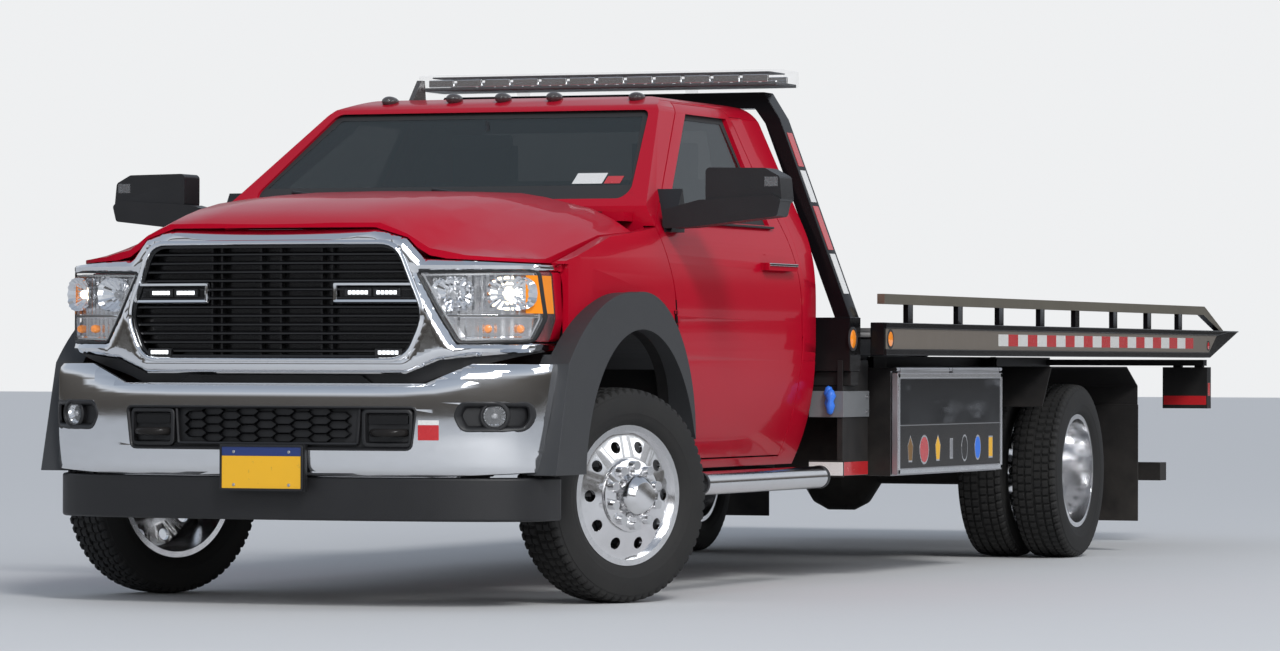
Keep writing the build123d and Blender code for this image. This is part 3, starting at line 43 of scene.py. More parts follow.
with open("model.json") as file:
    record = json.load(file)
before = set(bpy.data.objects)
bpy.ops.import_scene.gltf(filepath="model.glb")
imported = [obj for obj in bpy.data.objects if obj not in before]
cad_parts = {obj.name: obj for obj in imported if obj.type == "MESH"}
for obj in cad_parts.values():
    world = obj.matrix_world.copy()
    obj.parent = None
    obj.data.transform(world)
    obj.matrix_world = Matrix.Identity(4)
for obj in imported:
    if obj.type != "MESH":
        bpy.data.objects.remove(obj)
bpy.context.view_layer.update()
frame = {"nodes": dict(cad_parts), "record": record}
RECORD = frame["record"]
NODES = frame["nodes"]
JOINTS = {joint["name"]: joint for joint in RECORD["behaviour"]["joints"]}
NODE_BODY = {node: body for body, nodes in RECORD["behaviour"]["bodies"].items() for node in nodes}

# Places are given as metres behind the front axle line, to the truck's left and above the ground
FRONT_AXLE_Y = JOINTS["steering"]["pos_m"][1]
SIDES = ((1, "left"), (-1, "right"))


def front_curve(*half):
    """A front plan curve, as (x, y) from the middle outwards, its corners eased twice as the body's are."""
    points = [(-x, y) for x, y in reversed(half[1:])] + list(half)
    for _ in range(2):
        eased = [points[0]]
        for (x0, y0), (x1, y1) in zip(points, points[1:]):
            eased.append((0.75 * x0 + 0.25 * x1, 0.75 * y0 + 0.25 * y1))
            eased.append((0.25 * x0 + 0.75 * x1, 0.25 * y0 + 0.75 * y1))
        points = eased + [points[-1]]
    outer = [point for point in points if point[0] > 0.0]
    return [(0.0, outer[0][1])] + outer


FASCIA_CURVE = front_curve((0.0, -1.012), (0.61, -0.948), (0.862, -0.838), (0.968, -0.668), (0.985, -0.56))
BUMPER_CURVE = front_curve((0.0, -1.05), (0.63, -0.994), (0.908, -0.884), (0.993, -0.752), (1.005, -0.6))
# The heights at which the bumper is cut to be rolled
BUMPER_LEVELS = [0.479 + 0.0135 * number for number in range(31)]
# Edges sharper than this, in degrees, are rounded, and a surface is smooth across flatter ones
EDGE_ANGLE = 32.0
SMOOTH_ANGLE = 35.0
# The thickness of tape and other films on the skin
FILM = 0.0008
# How far the bumper's insert is moved back behind the plate
PLATE_ROOM = 0.011
# A grille slat's section, as (set back, rise)
SLAT_SECTION = ((0.010, 0.0), (0.003, 0.003), (0.002, 0.009), (0.007, 0.013), (0.036, 0.017), (0.036, 0.004))

# Outlines from the front, as (x, z)
GRILLE_TOP, GRILLE_BOTTOM = 1.316, 0.905
SURROUND_HALF = [(0.400, 1.372), (0.520, 1.335), (0.585, 1.262), (0.940, 1.245), (0.940, 1.222), (0.560, 1.216),
                 (0.640, 1.060), (0.700, 0.960), (0.930, 0.960), (0.930, 0.930), (0.640, 0.900), (0.520, 0.850)]
SURROUND_OUTLINE = SURROUND_HALF + [(-x, z) for x, z in reversed(SURROUND_HALF)]
GRILLE_OUTLINE = [(-0.490, 1.316), (0.490, 1.316), (0.590, 1.06), (0.525, 0.905), (-0.525, 0.905), (-0.590, 1.06)]
HEADLAMP_OUTLINE = [(0.562, 1.2156), (0.935, 1.2215), (0.950, 1.05), (0.925, 0.968), (0.705, 0.962), (0.645, 1.062)]


def at(x, y, z):
    """A place in the model's frame from one measured behind the front axle line."""
    return Vector((x, y + FRONT_AXLE_Y, z))


def curve_y(curve, x):
    """How far back a plan curve lies at a given distance from the middle."""
    x = abs(x)
    for (x0, y0), (x1, y1) in zip(curve, curve[1:]):
        if x <= x1:
            return y0 + (y1 - y0) * (x - x0) / (x1 - x0)
    (x0, y0), (x1, y1) = curve[-2:]
    return y1 + (y1 - y0) * (x - x1) / (x1 - x0)


class Value:
    """A number in a material that varies over the surface, so that formulas can be written with it."""

    def __init__(self, finish, socket):
        self.finish = finish
        self.socket = socket

    def maths(self, operation, *numbers):
        """A Math node on these numbers, as a new value."""
        node = self.finish.node("ShaderNodeMath", {"operation": operation}, dict(enumerate(numbers)))
        return Value(self.finish, node.outputs[0])

    def __add__(self, other):
        return self.maths("ADD", self, other)

    def __sub__(self, other):
        return self.maths("SUBTRACT", self, other)

    def __rsub__(self, other):
        return self.maths("SUBTRACT", other, self)

    def __mul__(self, other):
        return self.maths("MULTIPLY", self, other)

    def __truediv__(self, other):
        return self.maths("DIVIDE", self, other)

    def __pow__(self, other):
        return self.maths("POWER", self, other)

    def clamped(self):
        """The value held between 0 and 1."""
        return self.maths("MAXIMUM", self.maths("MINIMUM", self, 1.0), 0.0)


class Finish:
    """One material: a Principled shader and the nodes that vary it over the surface."""

    def __init__(self, name, colour, roughness, metallic=0.0, **constants):
        self.material = bpy.data.materials.new(name)
        self.material.use_nodes = True
        self.tree = self.material.node_tree
        self.tree.nodes.clear()
        sockets = {"Base Color": (*colour, 1.0), "Roughness": roughness, "Metallic": metallic}
        sockets.update(constants)
        self.shader = self.node("ShaderNodeBsdfPrincipled", inputs=sockets)
        self.node("ShaderNodeOutputMaterial", inputs={"Surface": self.shader.outputs["BSDF"]})
        self.colour = (*colour, 1.0)
        self.place = self.node("ShaderNodeTexCoord").outputs["Object"]

    def node(self, kind, settings=None, inputs=None):
        """A node of a kind, with its settings first and then its sockets' values or links."""
        node = self.tree.nodes.new(kind)
        for name, setting in (settings or {}).items():
            setattr(node, name, setting)
        for name, value in (inputs or {}).items():
            self.plug(node.inputs[name], value)
        return node

    def plug(self, socket, value):
        """Links a value to a socket, or sets the socket."""
        if isinstance(value, Value):
            self.tree.links.new(value.socket, socket)
        elif isinstance(value, bpy.types.NodeSocket):
            self.tree.links.new(value, socket)
        else:
            socket.default_value = value

    def vary(self, **values):
        """Feeds the shader's sockets, named with underscores for spaces."""
        for name, value in values.items():
            self.plug(self.shader.inputs[name.replace("_", " ")], value)
        return self

    def noise(self, scale, detail=4.0, roughness=0.55, stretch=None):
        """Noise over the surface, from 0 to 1; stretch scales each axis for streaks."""
        place = self.place
        if stretch:
            place = self.node("ShaderNodeMapping", inputs={"Vector": place, "Scale": stretch}).outputs[0]
        node = self.node("ShaderNodeTexNoise", inputs={
            "Vector": place, "Scale": scale, "Detail": detail, "Roughness": roughness})
        return Value(self, node.outputs["Fac"])

    def axis(self, letter):
        """One coordinate of the place, in metres; Z is the height above the ground."""
        node = self.node("ShaderNodeSeparateXYZ", inputs={0: self.place})
        return Value(self, node.outputs[letter])

    def mix(self, factor, first, second):
        """A colour between two colours."""
        node = self.node("ShaderNodeMix", {"data_type": "RGBA"}, {0: factor, 6: first, 7: second})
        return node.outputs[2]

    def bump(self, height, strength, distance):
        """Feeds the normal from a height."""
        node = self.node("ShaderNodeBump", inputs={"Height": height, "Strength": strength, "Distance": distance})
        self.plug(self.shader.inputs["Normal"], node.outputs[0])
        return self


def rgb(*colour):
    """A colour with its alpha."""
    return (*colour, 1.0)


ROAD_DUST = rgb(0.16, 0.14, 0.12)


def dusty(finish, top, amount, roughness):
    """Adds road dust that fades out with height, to a finish of one colour."""
    low = (1.0 - finish.axis("Z") / top).clamped()
    film = (low * finish.noise(9.0) * amount * 1.6).clamped()
    finish.vary(Base_Color=finish.mix(film, finish.colour, ROAD_DUST), Roughness=(film * 0.45 + roughness).clamped())
    return film


def paint_finish(name, colour):
    """Glossy vehicle paint with clear coat, faint orange peel and dust along the sills."""
    finish = Finish(name, colour, 0.32, **{"Coat Weight": 0.36, "Coat IOR": 1.3, "Coat Roughness": 0.02,
                                           "Specular IOR Level": 0.04})
    dusty(finish, 0.8, 0.07, 0.3)
    peel = finish.noise(260.0, detail=2.0)
    return finish.bump(peel, 0.025, 0.001).material


def chrome_finish():
    """Bright chrome with faint wiping marks and dust low down."""
    finish = Finish("bright_chrome", (0.82, 0.83, 0.85), 0.05, 1.0)
    marks = finish.noise(14.0, stretch=(1.0, 1.0, 3.0))
    low = (1.0 - finish.axis("Z") / 0.9).clamped()
    finish.vary(Roughness=marks * 0.06 + low * 0.12 + 0.02,
                Base_Color=finish.mix((low * marks * 0.5).clamped(), finish.colour, rgb(0.5, 0.49, 0.47)))
    return finish.material


def polished_finish():
    """Polished aluminium with turning marks and brake dust."""
    finish = Finish("polished_aluminium", (0.86, 0.86, 0.87), 0.14, 1.0)
    lines = finish.noise(60.0)
    dust = finish.noise(7.0)
    finish.vary(Roughness=lines * 0.16 + dust * 0.08 + 0.04,
                Base_Color=finish.mix((dust * 0.35).clamped(), finish.colour, rgb(0.45, 0.44, 0.43)))
    return finish.material


def black_steel_finish(name="chassis_black", colour=(0.01, 0.01, 0.011), roughness=0.4):
    """Black chassis paint with a fine grain, dusty low down."""
    finish = Finish(name, colour, roughness, **{"Specular IOR Level": 0.12})
    film = dusty(finish, 1.1, 0.25, roughness)
    grain = finish.noise(120.0)
    return finish.bump(grain * 0.6 + film, 0.12, 0.002).material


def plastic_finish(name, colour, roughness, grain=0.35):
    """Moulded plastic with a fine leather-like grain."""
    finish = Finish(name, colour, roughness)
    cells = finish.node("ShaderNodeTexVoronoi", inputs={"Vector": finish.place, "Scale": 420.0})
    patch = finish.noise(5.0)
    finish.vary(Base_Color=finish.mix((patch * 0.5).clamped(), finish.colour,
                                      rgb(*[min(1.0, c * 1.5 + 0.003) for c in colour])),
                Roughness=patch * 0.18 + (roughness - 0.09))
    return finish.bump(Value(finish, cells.outputs["Distance"]), grain, 0.0008).material


def tyre_finish():
    """Weathered tyre rubber with browner, duller patches, its black and its patches set darker still as painted shade.
    """
    # Painted shade: the base colour and the patch colour are darker than the rubber's own, standing in for the shade
    # the tyres sit in.
    finish = Finish("tyre_rubber", (0.012, 0.012, 0.0125), 0.78, **{"Specular IOR Level": 0.3})
    patch = finish.noise(11.0)
    fine = finish.noise(160.0)
    finish.vary(Base_Color=finish.mix((patch * 0.55).clamped(), finish.colour, rgb(0.036, 0.034, 0.031)),
                Roughness=patch * 0.2 + 0.62)
    return finish.bump(fine, 0.25, 0.0012).material


def glass_finish(name, colour, alpha, roughness=0.02):
    """Tinted glass that shows what lies behind it, with a faint film of dust."""
    finish = Finish(name, colour, roughness, Alpha=alpha, **{"IOR": 1.5, "Specular IOR Level": 0.7})
    film = finish.noise(3.0)
    finish.vary(Roughness=film * 0.05 + roughness, Alpha=(film * 0.08 + (alpha - 0.04)).clamped())
    return finish.material


def lens_finish(name, colour, glow):
    """A moulded lamp lens with fine prisms."""
    finish = Finish(name, colour, 0.06, **{"Coat Weight": 0.6, "Emission Strength": glow})
    finish.vary(Emission_Color=rgb(*colour))
    stripes = finish.axis("X") * 900.0
    prisms = stripes.maths("SINE", stripes)
    finish.vary(Roughness=finish.noise(30.0) * 0.06 + 0.03)
    return finish.bump(prisms, 0.12, 0.001).material


def emitter_finish(name, colour, strength):
    """A lit lamp element."""
    finish = Finish(name, colour, 0.3, **{"Emission Strength": strength})
    finish.vary(Emission_Color=finish.mix(finish.noise(40.0), rgb(*colour), rgb(1.0, 0.97, 0.9)))
    return finish.material


def cast_finish():
    """Rough cast iron with rust in its hollows."""
    finish = Finish("cast_iron", (0.06, 0.057, 0.055), 0.7, 0.6)
    rust = (finish.noise(9.0) * 1.7 - 0.6).clamped()
    finish.vary(Base_Color=finish.mix(rust, finish.colour, rgb(0.11, 0.05, 0.025)), Metallic=0.6 - rust * 0.5)
    return finish.bump(finish.noise(90.0), 0.5, 0.003).material


def brushed_finish(name="brushed_steel", colour=(0.55, 0.55, 0.56), base=0.28, stretch=(1.0, 40.0, 1.0)):
    """Bare metal brushed along one direction."""
    finish = Finish(name, colour, base, 0.95)
    grain = finish.noise(8.0, stretch=stretch)
    marks = finish.noise(5.0)
    finish.vary(Roughness=grain * 0.22 + base - 0.08,
                Base_Color=finish.mix((marks * 0.6).clamped(), finish.colour, rgb(*[c * 0.62 for c in colour])))
    return finish.bump(grain, 0.06, 0.0006).material


def deck_finish():
    """Painted steel deck worn bare by wheels, with a raised tread pattern."""
    finish = Finish("deck_steel", (0.1, 0.1, 0.105), 0.5, 0.3)
    cross, length = finish.axis("X") * 28.0, finish.axis("Y") * 28.0
    lattice = (cross + length).maths("SINE", cross + length) * (cross - length).maths("SINE", cross - length)
    wear = (finish.noise(3.5, stretch=(1.0, 0.25, 1.0)) * 2.2 - 0.75).clamped()
    finish.vary(Base_Color=finish.mix(wear, finish.colour, rgb(0.24, 0.23, 0.22)), Metallic=wear * 0.5 + 0.3,
                Roughness=0.6 - wear * 0.2)
    return finish.bump(lattice ** 2.0, 0.5, 0.003).material


def fabric_finish():
    """Woven seat cloth."""
    finish = Finish("seat_cloth", (0.07, 0.07, 0.075), 0.85, **{"Sheen Weight": 0.3})
    warp, weft = finish.axis("X") * 2600.0, finish.axis("Z") * 2600.0
    weave = warp.maths("SINE", warp) * weft.maths("SINE", weft)
    finish.vary(Base_Color=finish.mix((finish.noise(30.0) * 0.6).clamped(), finish.colour, rgb(0.11, 0.11, 0.115)))
    return finish.bump(weave, 0.4, 0.0008).material


def tape_finish(name, colour):
    """Reflective tape with a fine honeycomb under a clear film."""
    finish = Finish(name, colour, 0.22, **{"Coat Weight": 0.5})
    cells = finish.node("ShaderNodeTexVoronoi", {"feature": "DISTANCE_TO_EDGE"},
                        {"Vector": finish.place, "Scale": 260.0})
    edge = (Value(finish, cells.outputs["Distance"]) * 9.0).clamped()
    finish.vary(Base_Color=finish.mix(edge, rgb(*[c * 0.72 for c in colour]), rgb(*colour)),
                Roughness=finish.noise(12.0) * 0.2 + 0.14)
    return finish.material


def enamel_finish(name, colour, roughness=0.4):
    """Plain enamel with small chips and a film of dust."""
    finish = Finish(name, colour, roughness)
    chips = (finish.noise(55.0) * 6.0 - 4.05).clamped()
    patch = finish.noise(4.0)
    shade = finish.mix((patch * 0.4).clamped(), finish.colour, rgb(*[c * 0.7 for c in colour]))
    finish.vary(Base_Color=finish.mix(chips, shade, rgb(0.09, 0.085, 0.08)), Roughness=patch * 0.25 + roughness - 0.1)
    return finish.bump(finish.noise(140.0), 0.05, 0.001).material


def painted_sheen_finish():
    """Black with soft grey clouds and streaks painted on as a sheen, a painted reflection, for the toolbox doors."""
    finish = Finish("panel_clouds", (0.005, 0.005, 0.006), 0.14, **{"Specular IOR Level": 0.12})
    # Painted sheen: grey clouds and streaks mixed into the black stand in for a reflection.
    cloud = (finish.noise(3.2, 2.0, 0.4, (1.0, 0.8, 1.6)) * 3.4 - 1.75).clamped()
    streak = (finish.noise(9.0, 3.0, 0.5, (1.0, 0.35, 2.0)) * 2.6 - 1.3).clamped()
    finish.vary(Base_Color=finish.mix(cloud * streak, finish.colour, rgb(0.26, 0.27, 0.29)),
                Roughness=cloud * 0.2 + 0.12)
    return finish.material


def mirror_finish():
    """Silvered mirror glass."""
    finish = Finish("mirror_glass", (0.9, 0.92, 0.93), 0.01, 1.0)
    return finish.vary(Roughness=finish.noise(6.0) * 0.02 + 0.005).material


FINISHES = {}


def make_finishes():
    """Makes every material once, from the colours chosen in the panel."""
    colours = bpy.context.scene.tow_truck_looks
    FINISHES.update({
        "paint": paint_finish("body_red", tuple(colours.body_colour)),
        "chrome": chrome_finish(),
        "polished": polished_finish(),
        "black": black_steel_finish(),
        "gloss_black": black_steel_finish("gloss_black", (0.005, 0.005, 0.006), 0.16),
        "flare": plastic_finish("flare_plastic", (0.026, 0.027, 0.029), 0.5),
        "trim": plastic_finish("trim_plastic", (0.008, 0.008, 0.009), 0.42),
        "grille": plastic_finish("grille_black", (0.003, 0.003, 0.0035), 0.2, 0.1),
        "dash": plastic_finish("dash_plastic", (0.05, 0.05, 0.052), 0.6),
        "tyre": tyre_finish(),
        "glass": glass_finish("window_glass", (0.008, 0.014, 0.013), 0.68),
        "mirror": mirror_finish(),
        "lens": glass_finish("clear_lens", (0.8, 0.82, 0.84), 0.08),
        "smoked": glass_finish("smoked_lens", (0.05, 0.045, 0.045), 0.82, 0.08),
        "amber": lens_finish("amber_lens", (0.9, 0.27, 0.02), 0.15),
        "red_lens": lens_finish("red_lens", (0.5, 0.012, 0.015), 0.05),
        "led": emitter_finish("led_white", (0.9, 0.95, 1.0), 1.2),
        "warm": emitter_finish("warm_bulb", (1.0, 0.78, 0.42), 3.0),
        "cast": cast_finish(),
        "steel": brushed_finish(),
        "beige_steel": brushed_finish("rail_steel", (0.34, 0.3, 0.23), 0.34),
        "silver": brushed_finish("lamp_silver", (0.88, 0.88, 0.89), 0.2, (1.0, 1.0, 1.0)),
        "box": brushed_finish("brushed_aluminium", (0.62, 0.62, 0.64), 0.3),
        "deck": deck_finish(),
        "cloth": fabric_finish(),
        "white_tape": tape_finish("white_tape", (0.78, 0.77, 0.74)),
        "red_tape": tape_finish("red_tape", (0.55, 0.02, 0.025)),
        "rail": enamel_finish("rail_enamel", (0.15, 0.125, 0.1), 0.3),
        "plate": enamel_finish("plate_yellow", (0.86, 0.46, 0.02)),
        "plate_band": enamel_finish("plate_blue", (0.02, 0.04, 0.16)),
        "grey": enamel_finish("panel_grey", (0.16, 0.165, 0.17)),
        "strap": enamel_finish("strap_blue", (0.03, 0.18, 0.75)),
        "rubber": plastic_finish("rubber_black", (0.02, 0.02, 0.021), 0.8),
        "panel_black": black_steel_finish("panel_black", (0.004, 0.004, 0.005), 0.12),
        "cloudy": painted_sheen_finish(),
        "bronze": enamel_finish("panel_bronze", (0.2, 0.1, 0.02), 0.35),
        "cable": brushed_finish("winch_cable", (0.35, 0.34, 0.33), 0.45, (40.0, 1.0, 1.0)),
    })


def from_bmesh(name, form):
    """A mesh from a bmesh, which is then freed."""
    bmesh.ops.recalc_face_normals(form, faces=form.faces)
    mesh = bpy.data.meshes.new(name)
    form.to_mesh(mesh)
    form.free()
    return mesh


def piece(name, form, finish, body, smooth_angle=SMOOTH_ANGLE):
    """A shown piece from a bmesh in the model's frame: linked, smoothed, finished and riding on its body."""
    mesh = from_bmesh(name, form)
    made = bpy.data.objects.new(name, mesh)
    bpy.context.scene.collection.objects.link(made)
    mesh.shade_smooth()
    mesh.set_sharp_from_angle(angle=math.radians(smooth_angle))
    mesh.materials.clear()
    mesh.materials.append(FINISHES[finish])
    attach(made, body)
    return made


def soften(made, width, segments=2):
    """Rounds a piece's sharp edges."""
    bevel = made.modifiers.new("edge_round", "BEVEL")
    bevel.width = width
    bevel.segments = segments
    bevel.limit_method = "ANGLE"
    bevel.angle_limit = math.radians(EDGE_ANGLE)
    bevel.harden_normals = True
    bevel.use_clamp_overlap = True
    return made


def dress(node, finish, width=0.003, segments=2, shape=None):
    """A copy of a CAD node's form with rounded edges and its own finish, which stands for the node."""
    form = bmesh.new()
    form.from_mesh(NODES[node].data)
    bmesh.ops.remove_doubles(form, verts=form.verts, dist=1e-5)
    bmesh.ops.dissolve_limit(form, angle_limit=math.radians(0.5), verts=form.verts, edges=form.edges)
    if shape:
        shape(form)
    made = piece(f"{node}_shown", form, finish, NODE_BODY[node])
    soften(made, width, segments)
    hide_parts(node)
    return made


def divide(form, place, normal):
    """Cuts a bmesh's faces along a plane and keeps both sides."""
    everything = form.verts[:] + form.edges[:] + form.faces[:]
    bmesh.ops.bisect_plane(form, geom=everything, plane_co=place, plane_no=normal)


def thicken(form, shift):
    """Gives a bmesh's sheet a thickness."""
    copied = bmesh.ops.extrude_face_region(form, geom=form.faces[:])
    for part in copied["geom"]:
        if isinstance(part, bmesh.types.BMVert):
            part.co += shift


def bridge(form, rings, closed=True):
    """Joins rings of vertices, each to the next and the last to the first."""
    for ring, following in zip(rings, rings[1:] + (rings[:1] if closed else [])):
        for corner in range(len(ring)):
            after = (corner + 1) % len(ring)
            form.faces.new([ring[corner], ring[after], following[after], following[corner]])


def capped(form, rings):
    """Joins rings of vertices and closes both ends."""
    bridge(form, rings, closed=False)
    form.faces.new(rings[0])
    form.faces.new(rings[-1])


def oblong(near, far, low, high):
    """The corners of an upright rectangle."""
    return [(near, low), (far, low), (far, high), (near, high)]


def sided(side, outline):
    """An outline given for the left side, on the left or mirrored on the right."""
    return [(side * x, z) for x, z in outline]


def roll_front(curve, levels, top, radius, crown):
    """A shape for dress: rolls a front panel's upper and lower edges back and crowns its face."""
    def shape(form):
        for level in levels:
            divide(form, (0, 0, level), (0, 0, 1))
        low = min(levels)
        middle = (low + max(levels)) / 2
        for vertex in form.verts:
            face_y = curve_y(curve, vertex.co.x) + FRONT_AXLE_Y
            if vertex.co.y > face_y + 0.02:
                continue
            near = max(0.0, radius - max(0.0, top(abs(vertex.co.x)) - vertex.co.z), radius - (vertex.co.z - low))
            near = min(near, radius * 0.96)
            vertex.co.y += radius - math.sqrt(radius ** 2 - near ** 2) + crown * ((vertex.co.z - middle) / 0.2) ** 2
    return shape


def edge_distance(outline, x, z):
    """The distance in front view from a point to the nearest edge of a closed outline."""
    nearest = math.inf
    for (x0, z0), (x1, z1) in zip(outline, outline[1:] + outline[:1]):
        run_x, run_z = x1 - x0, z1 - z0
        share = ((x - x0) * run_x + (z - z0) * run_z) / (run_x ** 2 + run_z ** 2)
        share = max(0.0, min(1.0, share))
        nearest = min(nearest, math.hypot(x - x0 - share * run_x, z - z0 - share * run_z))
    return nearest


def pillow_front(outlines, cell=0.013):
    """A shape for dress: rolls a front panel back towards each of its outlines, given with their radii."""
    def shape(form):
        low = [min(vertex.co[axis] for vertex in form.verts) for axis in range(3)]
        high = [max(vertex.co[axis] for vertex in form.verts) for axis in range(3)]
        for axis in (0, 2):
            normal = Vector([1.0 if number == axis else 0.0 for number in range(3)])
            for number in range(1, int((high[axis] - low[axis]) / cell)):
                divide(form, normal * (low[axis] + number * cell), normal)
        form.normal_update()
        fronts = [vertex for vertex in form.verts if any(face.normal.y < -0.35 for face in vertex.link_faces)]
        for vertex in fronts:
            push = 0.0
            for outline, radius in outlines:
                near = max(0.0, min(radius * 0.97, radius - edge_distance(outline, vertex.co.x, vertex.co.z)))
                push = max(push, radius - math.sqrt(radius ** 2 - near ** 2))
            vertex.co.y += push
    return shape


def two_tone(made, finish, test):
    """Gives a piece's faces that pass a test of their middle, from the front axle line, a second finish."""
    made.data.materials.append(FINISHES[finish])
    for face in made.data.polygons:
        middle = face.center - Vector((0.0, FRONT_AXLE_Y, 0.0))
        if test(middle, face.normal):
            face.material_index = 1


def finish_node(node, finish):
    """Gives a CAD node that stays its material."""
    shown = NODES[node]
    if not shown.material_slots:
        raise RuntimeError(f"{node} has no material slot")
    for slot in shown.material_slots:
        slot.link = "OBJECT"
        slot.material = FINISHES[finish]


def add_box(form, *corners):
    """Adds a box between two opposite corners to a bmesh."""
    low, high = [Vector(map(chosen, *corners)) for chosen in (min, max)]
    place = Matrix.Translation((high + low) / 2)
    bmesh.ops.create_cube(form, size=1.0, matrix=place @ Matrix.Diagonal((*(high - low), 1.0)))


def boxes_piece(name, boxes, finish, body, width=0.002):
    """Several slabs with rounded edges in one piece, each given by two opposite corners."""
    form = bmesh.new()
    for corners in boxes:
        add_box(form, *corners)
    return soften(piece(name, form, finish, body), width)


def box_piece(name, low, high, finish, body, width=0.002):
    """A slab between two opposite corners."""
    return boxes_piece(name, [(low, high)], finish, body, width)


def add_lathe(form, profile, centre, axis, steps=48):
    """Adds a turned form to a bmesh: profile as (distance along the axis, radius)."""
    axis = Vector(axis).normalized()
    side = axis.orthogonal().normalized()
    up = axis.cross(side)
    rings = []
    for step in range(steps):
        angle = math.tau * step / steps
        out = side * math.cos(angle) + up * math.sin(angle)
        rings.append([form.verts.new(Vector(centre) + axis * along + out * radius) for along, radius in profile])
    for ring, following in zip(rings, rings[1:] + rings[:1]):
        for number in range(len(profile) - 1):
            corners = [ring[number], ring[number + 1], following[number + 1], following[number]]
            form.faces.new(corners)
    bmesh.ops.remove_doubles(form, verts=form.verts, dist=1e-6)


def lathe_piece(name, profile, centre, axis, finish, body, steps=48, smooth_angle=SMOOTH_ANGLE):
    """A turned piece."""
    form = bmesh.new()
    add_lathe(form, profile, centre, axis, steps)
    return piece(name, form, finish, body, smooth_angle)


def add_tube(form, points, radius, steps=12):
    """Adds a round bar through points to a bmesh."""
    points = [Vector(point) for point in points]
    rings = []
    side = None
    for number, point in enumerate(points):
        before = points[max(number - 1, 0)]
        after = points[min(number + 1, len(points) - 1)]
        along = (after - before).normalized()
        if side is None:
            side = along.orthogonal().normalized()
        side = (side - along * side.dot(along)).normalized()
        up = along.cross(side)
        turns = [math.tau * step / steps for step in range(steps)]
        rings.append([form.verts.new(point + (side * math.cos(t) + up * math.sin(t)) * radius) for t in turns])
    capped(form, rings)


def tube_piece(name, paths, radius, finish, body, steps=12):
    """Round bars along one or more paths, in one piece."""
    form = bmesh.new()
    for points in paths:
        add_tube(form, points, radius, steps)
    return piece(name, form, finish, body)


def front_sheet(name, outline, curve, set_back, thickness, finish, body, width=0.002, step=0.05,
                flute=0.0):
    """A sheet that follows a plan curve across the truck, cut to an (x, z) outline, and fluted if asked."""
    form = bmesh.new()
    form.faces.new([form.verts.new((x, 0.0, z)) for x, z in outline])
    lowest = min(x for x, z in outline)
    count = int((max(x for x, z in outline) - lowest) / step) + 1
    cuts = {lowest + step * number for number in range(1, count)} | {s * x for x, y in curve for s in (1, -1)}
    for cut in sorted(cuts):
        divide(form, (cut, 0, 0), (1, 0, 0))
    for vertex in form.verts:
        ridge = flute * (round(abs(vertex.co.x - lowest) / step) % 2)
        vertex.co.y = curve_y(curve, vertex.co.x) + set_back + ridge + FRONT_AXLE_Y
    thicken(form, Vector((0.0, thickness, 0.0)))
    return soften(piece(name, form, finish, body), width)


def rounded(points, radius, steps=4, longest=0.06):
    """A closed outline with its corners rounded and its long runs divided, so that it can follow a curve."""
    turned = []
    for number, point in enumerate(points):
        corner = Vector(point)
        ends = [Vector(points[number - 1]), Vector(points[(number + 1) % len(points)])]
        start, end = [corner + (end - corner).normalized() * min(radius, (end - corner).length * 0.45)
                      for end in ends]
        for step in range(steps + 1):
            share = step / steps
            turned.append(start * (1 - share) ** 2 + corner * (2 * share * (1 - share)) + end * share ** 2)
    outline = []
    for point, following in zip(turned, turned[1:] + turned[:1]):
        parts = max(1, math.ceil((following - point).length / longest))
        outline += [tuple(point.lerp(following, part / parts)) for part in range(parts)]
    return outline


def outset(outline, distance):
    """A closed outline moved outwards, or inwards where the distance is negative."""
    pairs = list(zip(outline, outline[1:] + outline[:1]))
    turn = 1.0 if sum(x0 * z1 - x1 * z0 for (x0, z0), (x1, z1) in pairs) > 0 else -1.0
    moved = []
    for number, (x, z) in enumerate(outline):
        (x0, z0), (x1, z1) = outline[number - 1], outline[(number + 1) % len(outline)]
        along = Vector((x1 - x0, z1 - z0)).normalized() * turn * distance
        moved.append((x + along.y, z - along.x))
    return moved


def rim_piece(name, outline, curve, section, finish, body="chassis"):
    """A rim round an outline on a front plan curve, its section given as (outset, set back)."""
    form = bmesh.new()
    rings = []
    for out, set_back in section:
        rings.append([form.verts.new(at(x, curve_y(curve, x) + set_back, z)) for x, z in outset(outline, out)])
    bridge(form, rings)
    return piece(name, form, finish, body, 50.0)


def skin_patch(name, node, outline, facing, finish, lift=0.0006, inside=True, reach=math.inf):
    """A film over a node's skin: the part inside, or outside, an outline seen along one axis.

    Only skin that faces that way counts, and only within a reach of its foremost point."""
    form = bmesh.new()
    form.from_mesh(NODES[node].data)
    facing = Vector(facing)
    foremost = max(vertex.co.dot(facing) for vertex in form.verts)
    away = [face for face in form.faces
            if face.normal.dot(facing) < 0.25 or face.calc_center_median().dot(facing) < foremost - reach]
    bmesh.ops.delete(form, geom=away, context="FACES")
    first, second = [axis for axis in range(3) if abs(facing[axis]) < 0.5]
    middle = sum((Vector(point) for point in outline), Vector((0.0, 0.0))) / len(outline)
    walls = []
    for start, end in zip(outline, outline[1:] + outline[:1]):
        place, normal = Vector(), Vector()
        place[first], place[second] = start
        normal[first], normal[second] = end[1] - start[1], start[0] - end[0]
        if normal[first] * (middle.x - start[0]) + normal[second] * (middle.y - start[1]) > 0:
            normal.negate()
        walls.append((place, normal))
        divide(form, place, normal)
    wrong = [face for face in form.faces
             if inside != all((face.calc_center_median() - place).dot(normal) < 0 for place, normal in walls)]
    bmesh.ops.delete(form, geom=wrong, context="FACES")
    bmesh.ops.remove_doubles(form, verts=form.verts, dist=1e-6)
    for vertex in form.verts:
        vertex.co += facing * lift
    thicken(form, facing * FILM)
    return piece(name, form, finish, NODE_BODY[node])


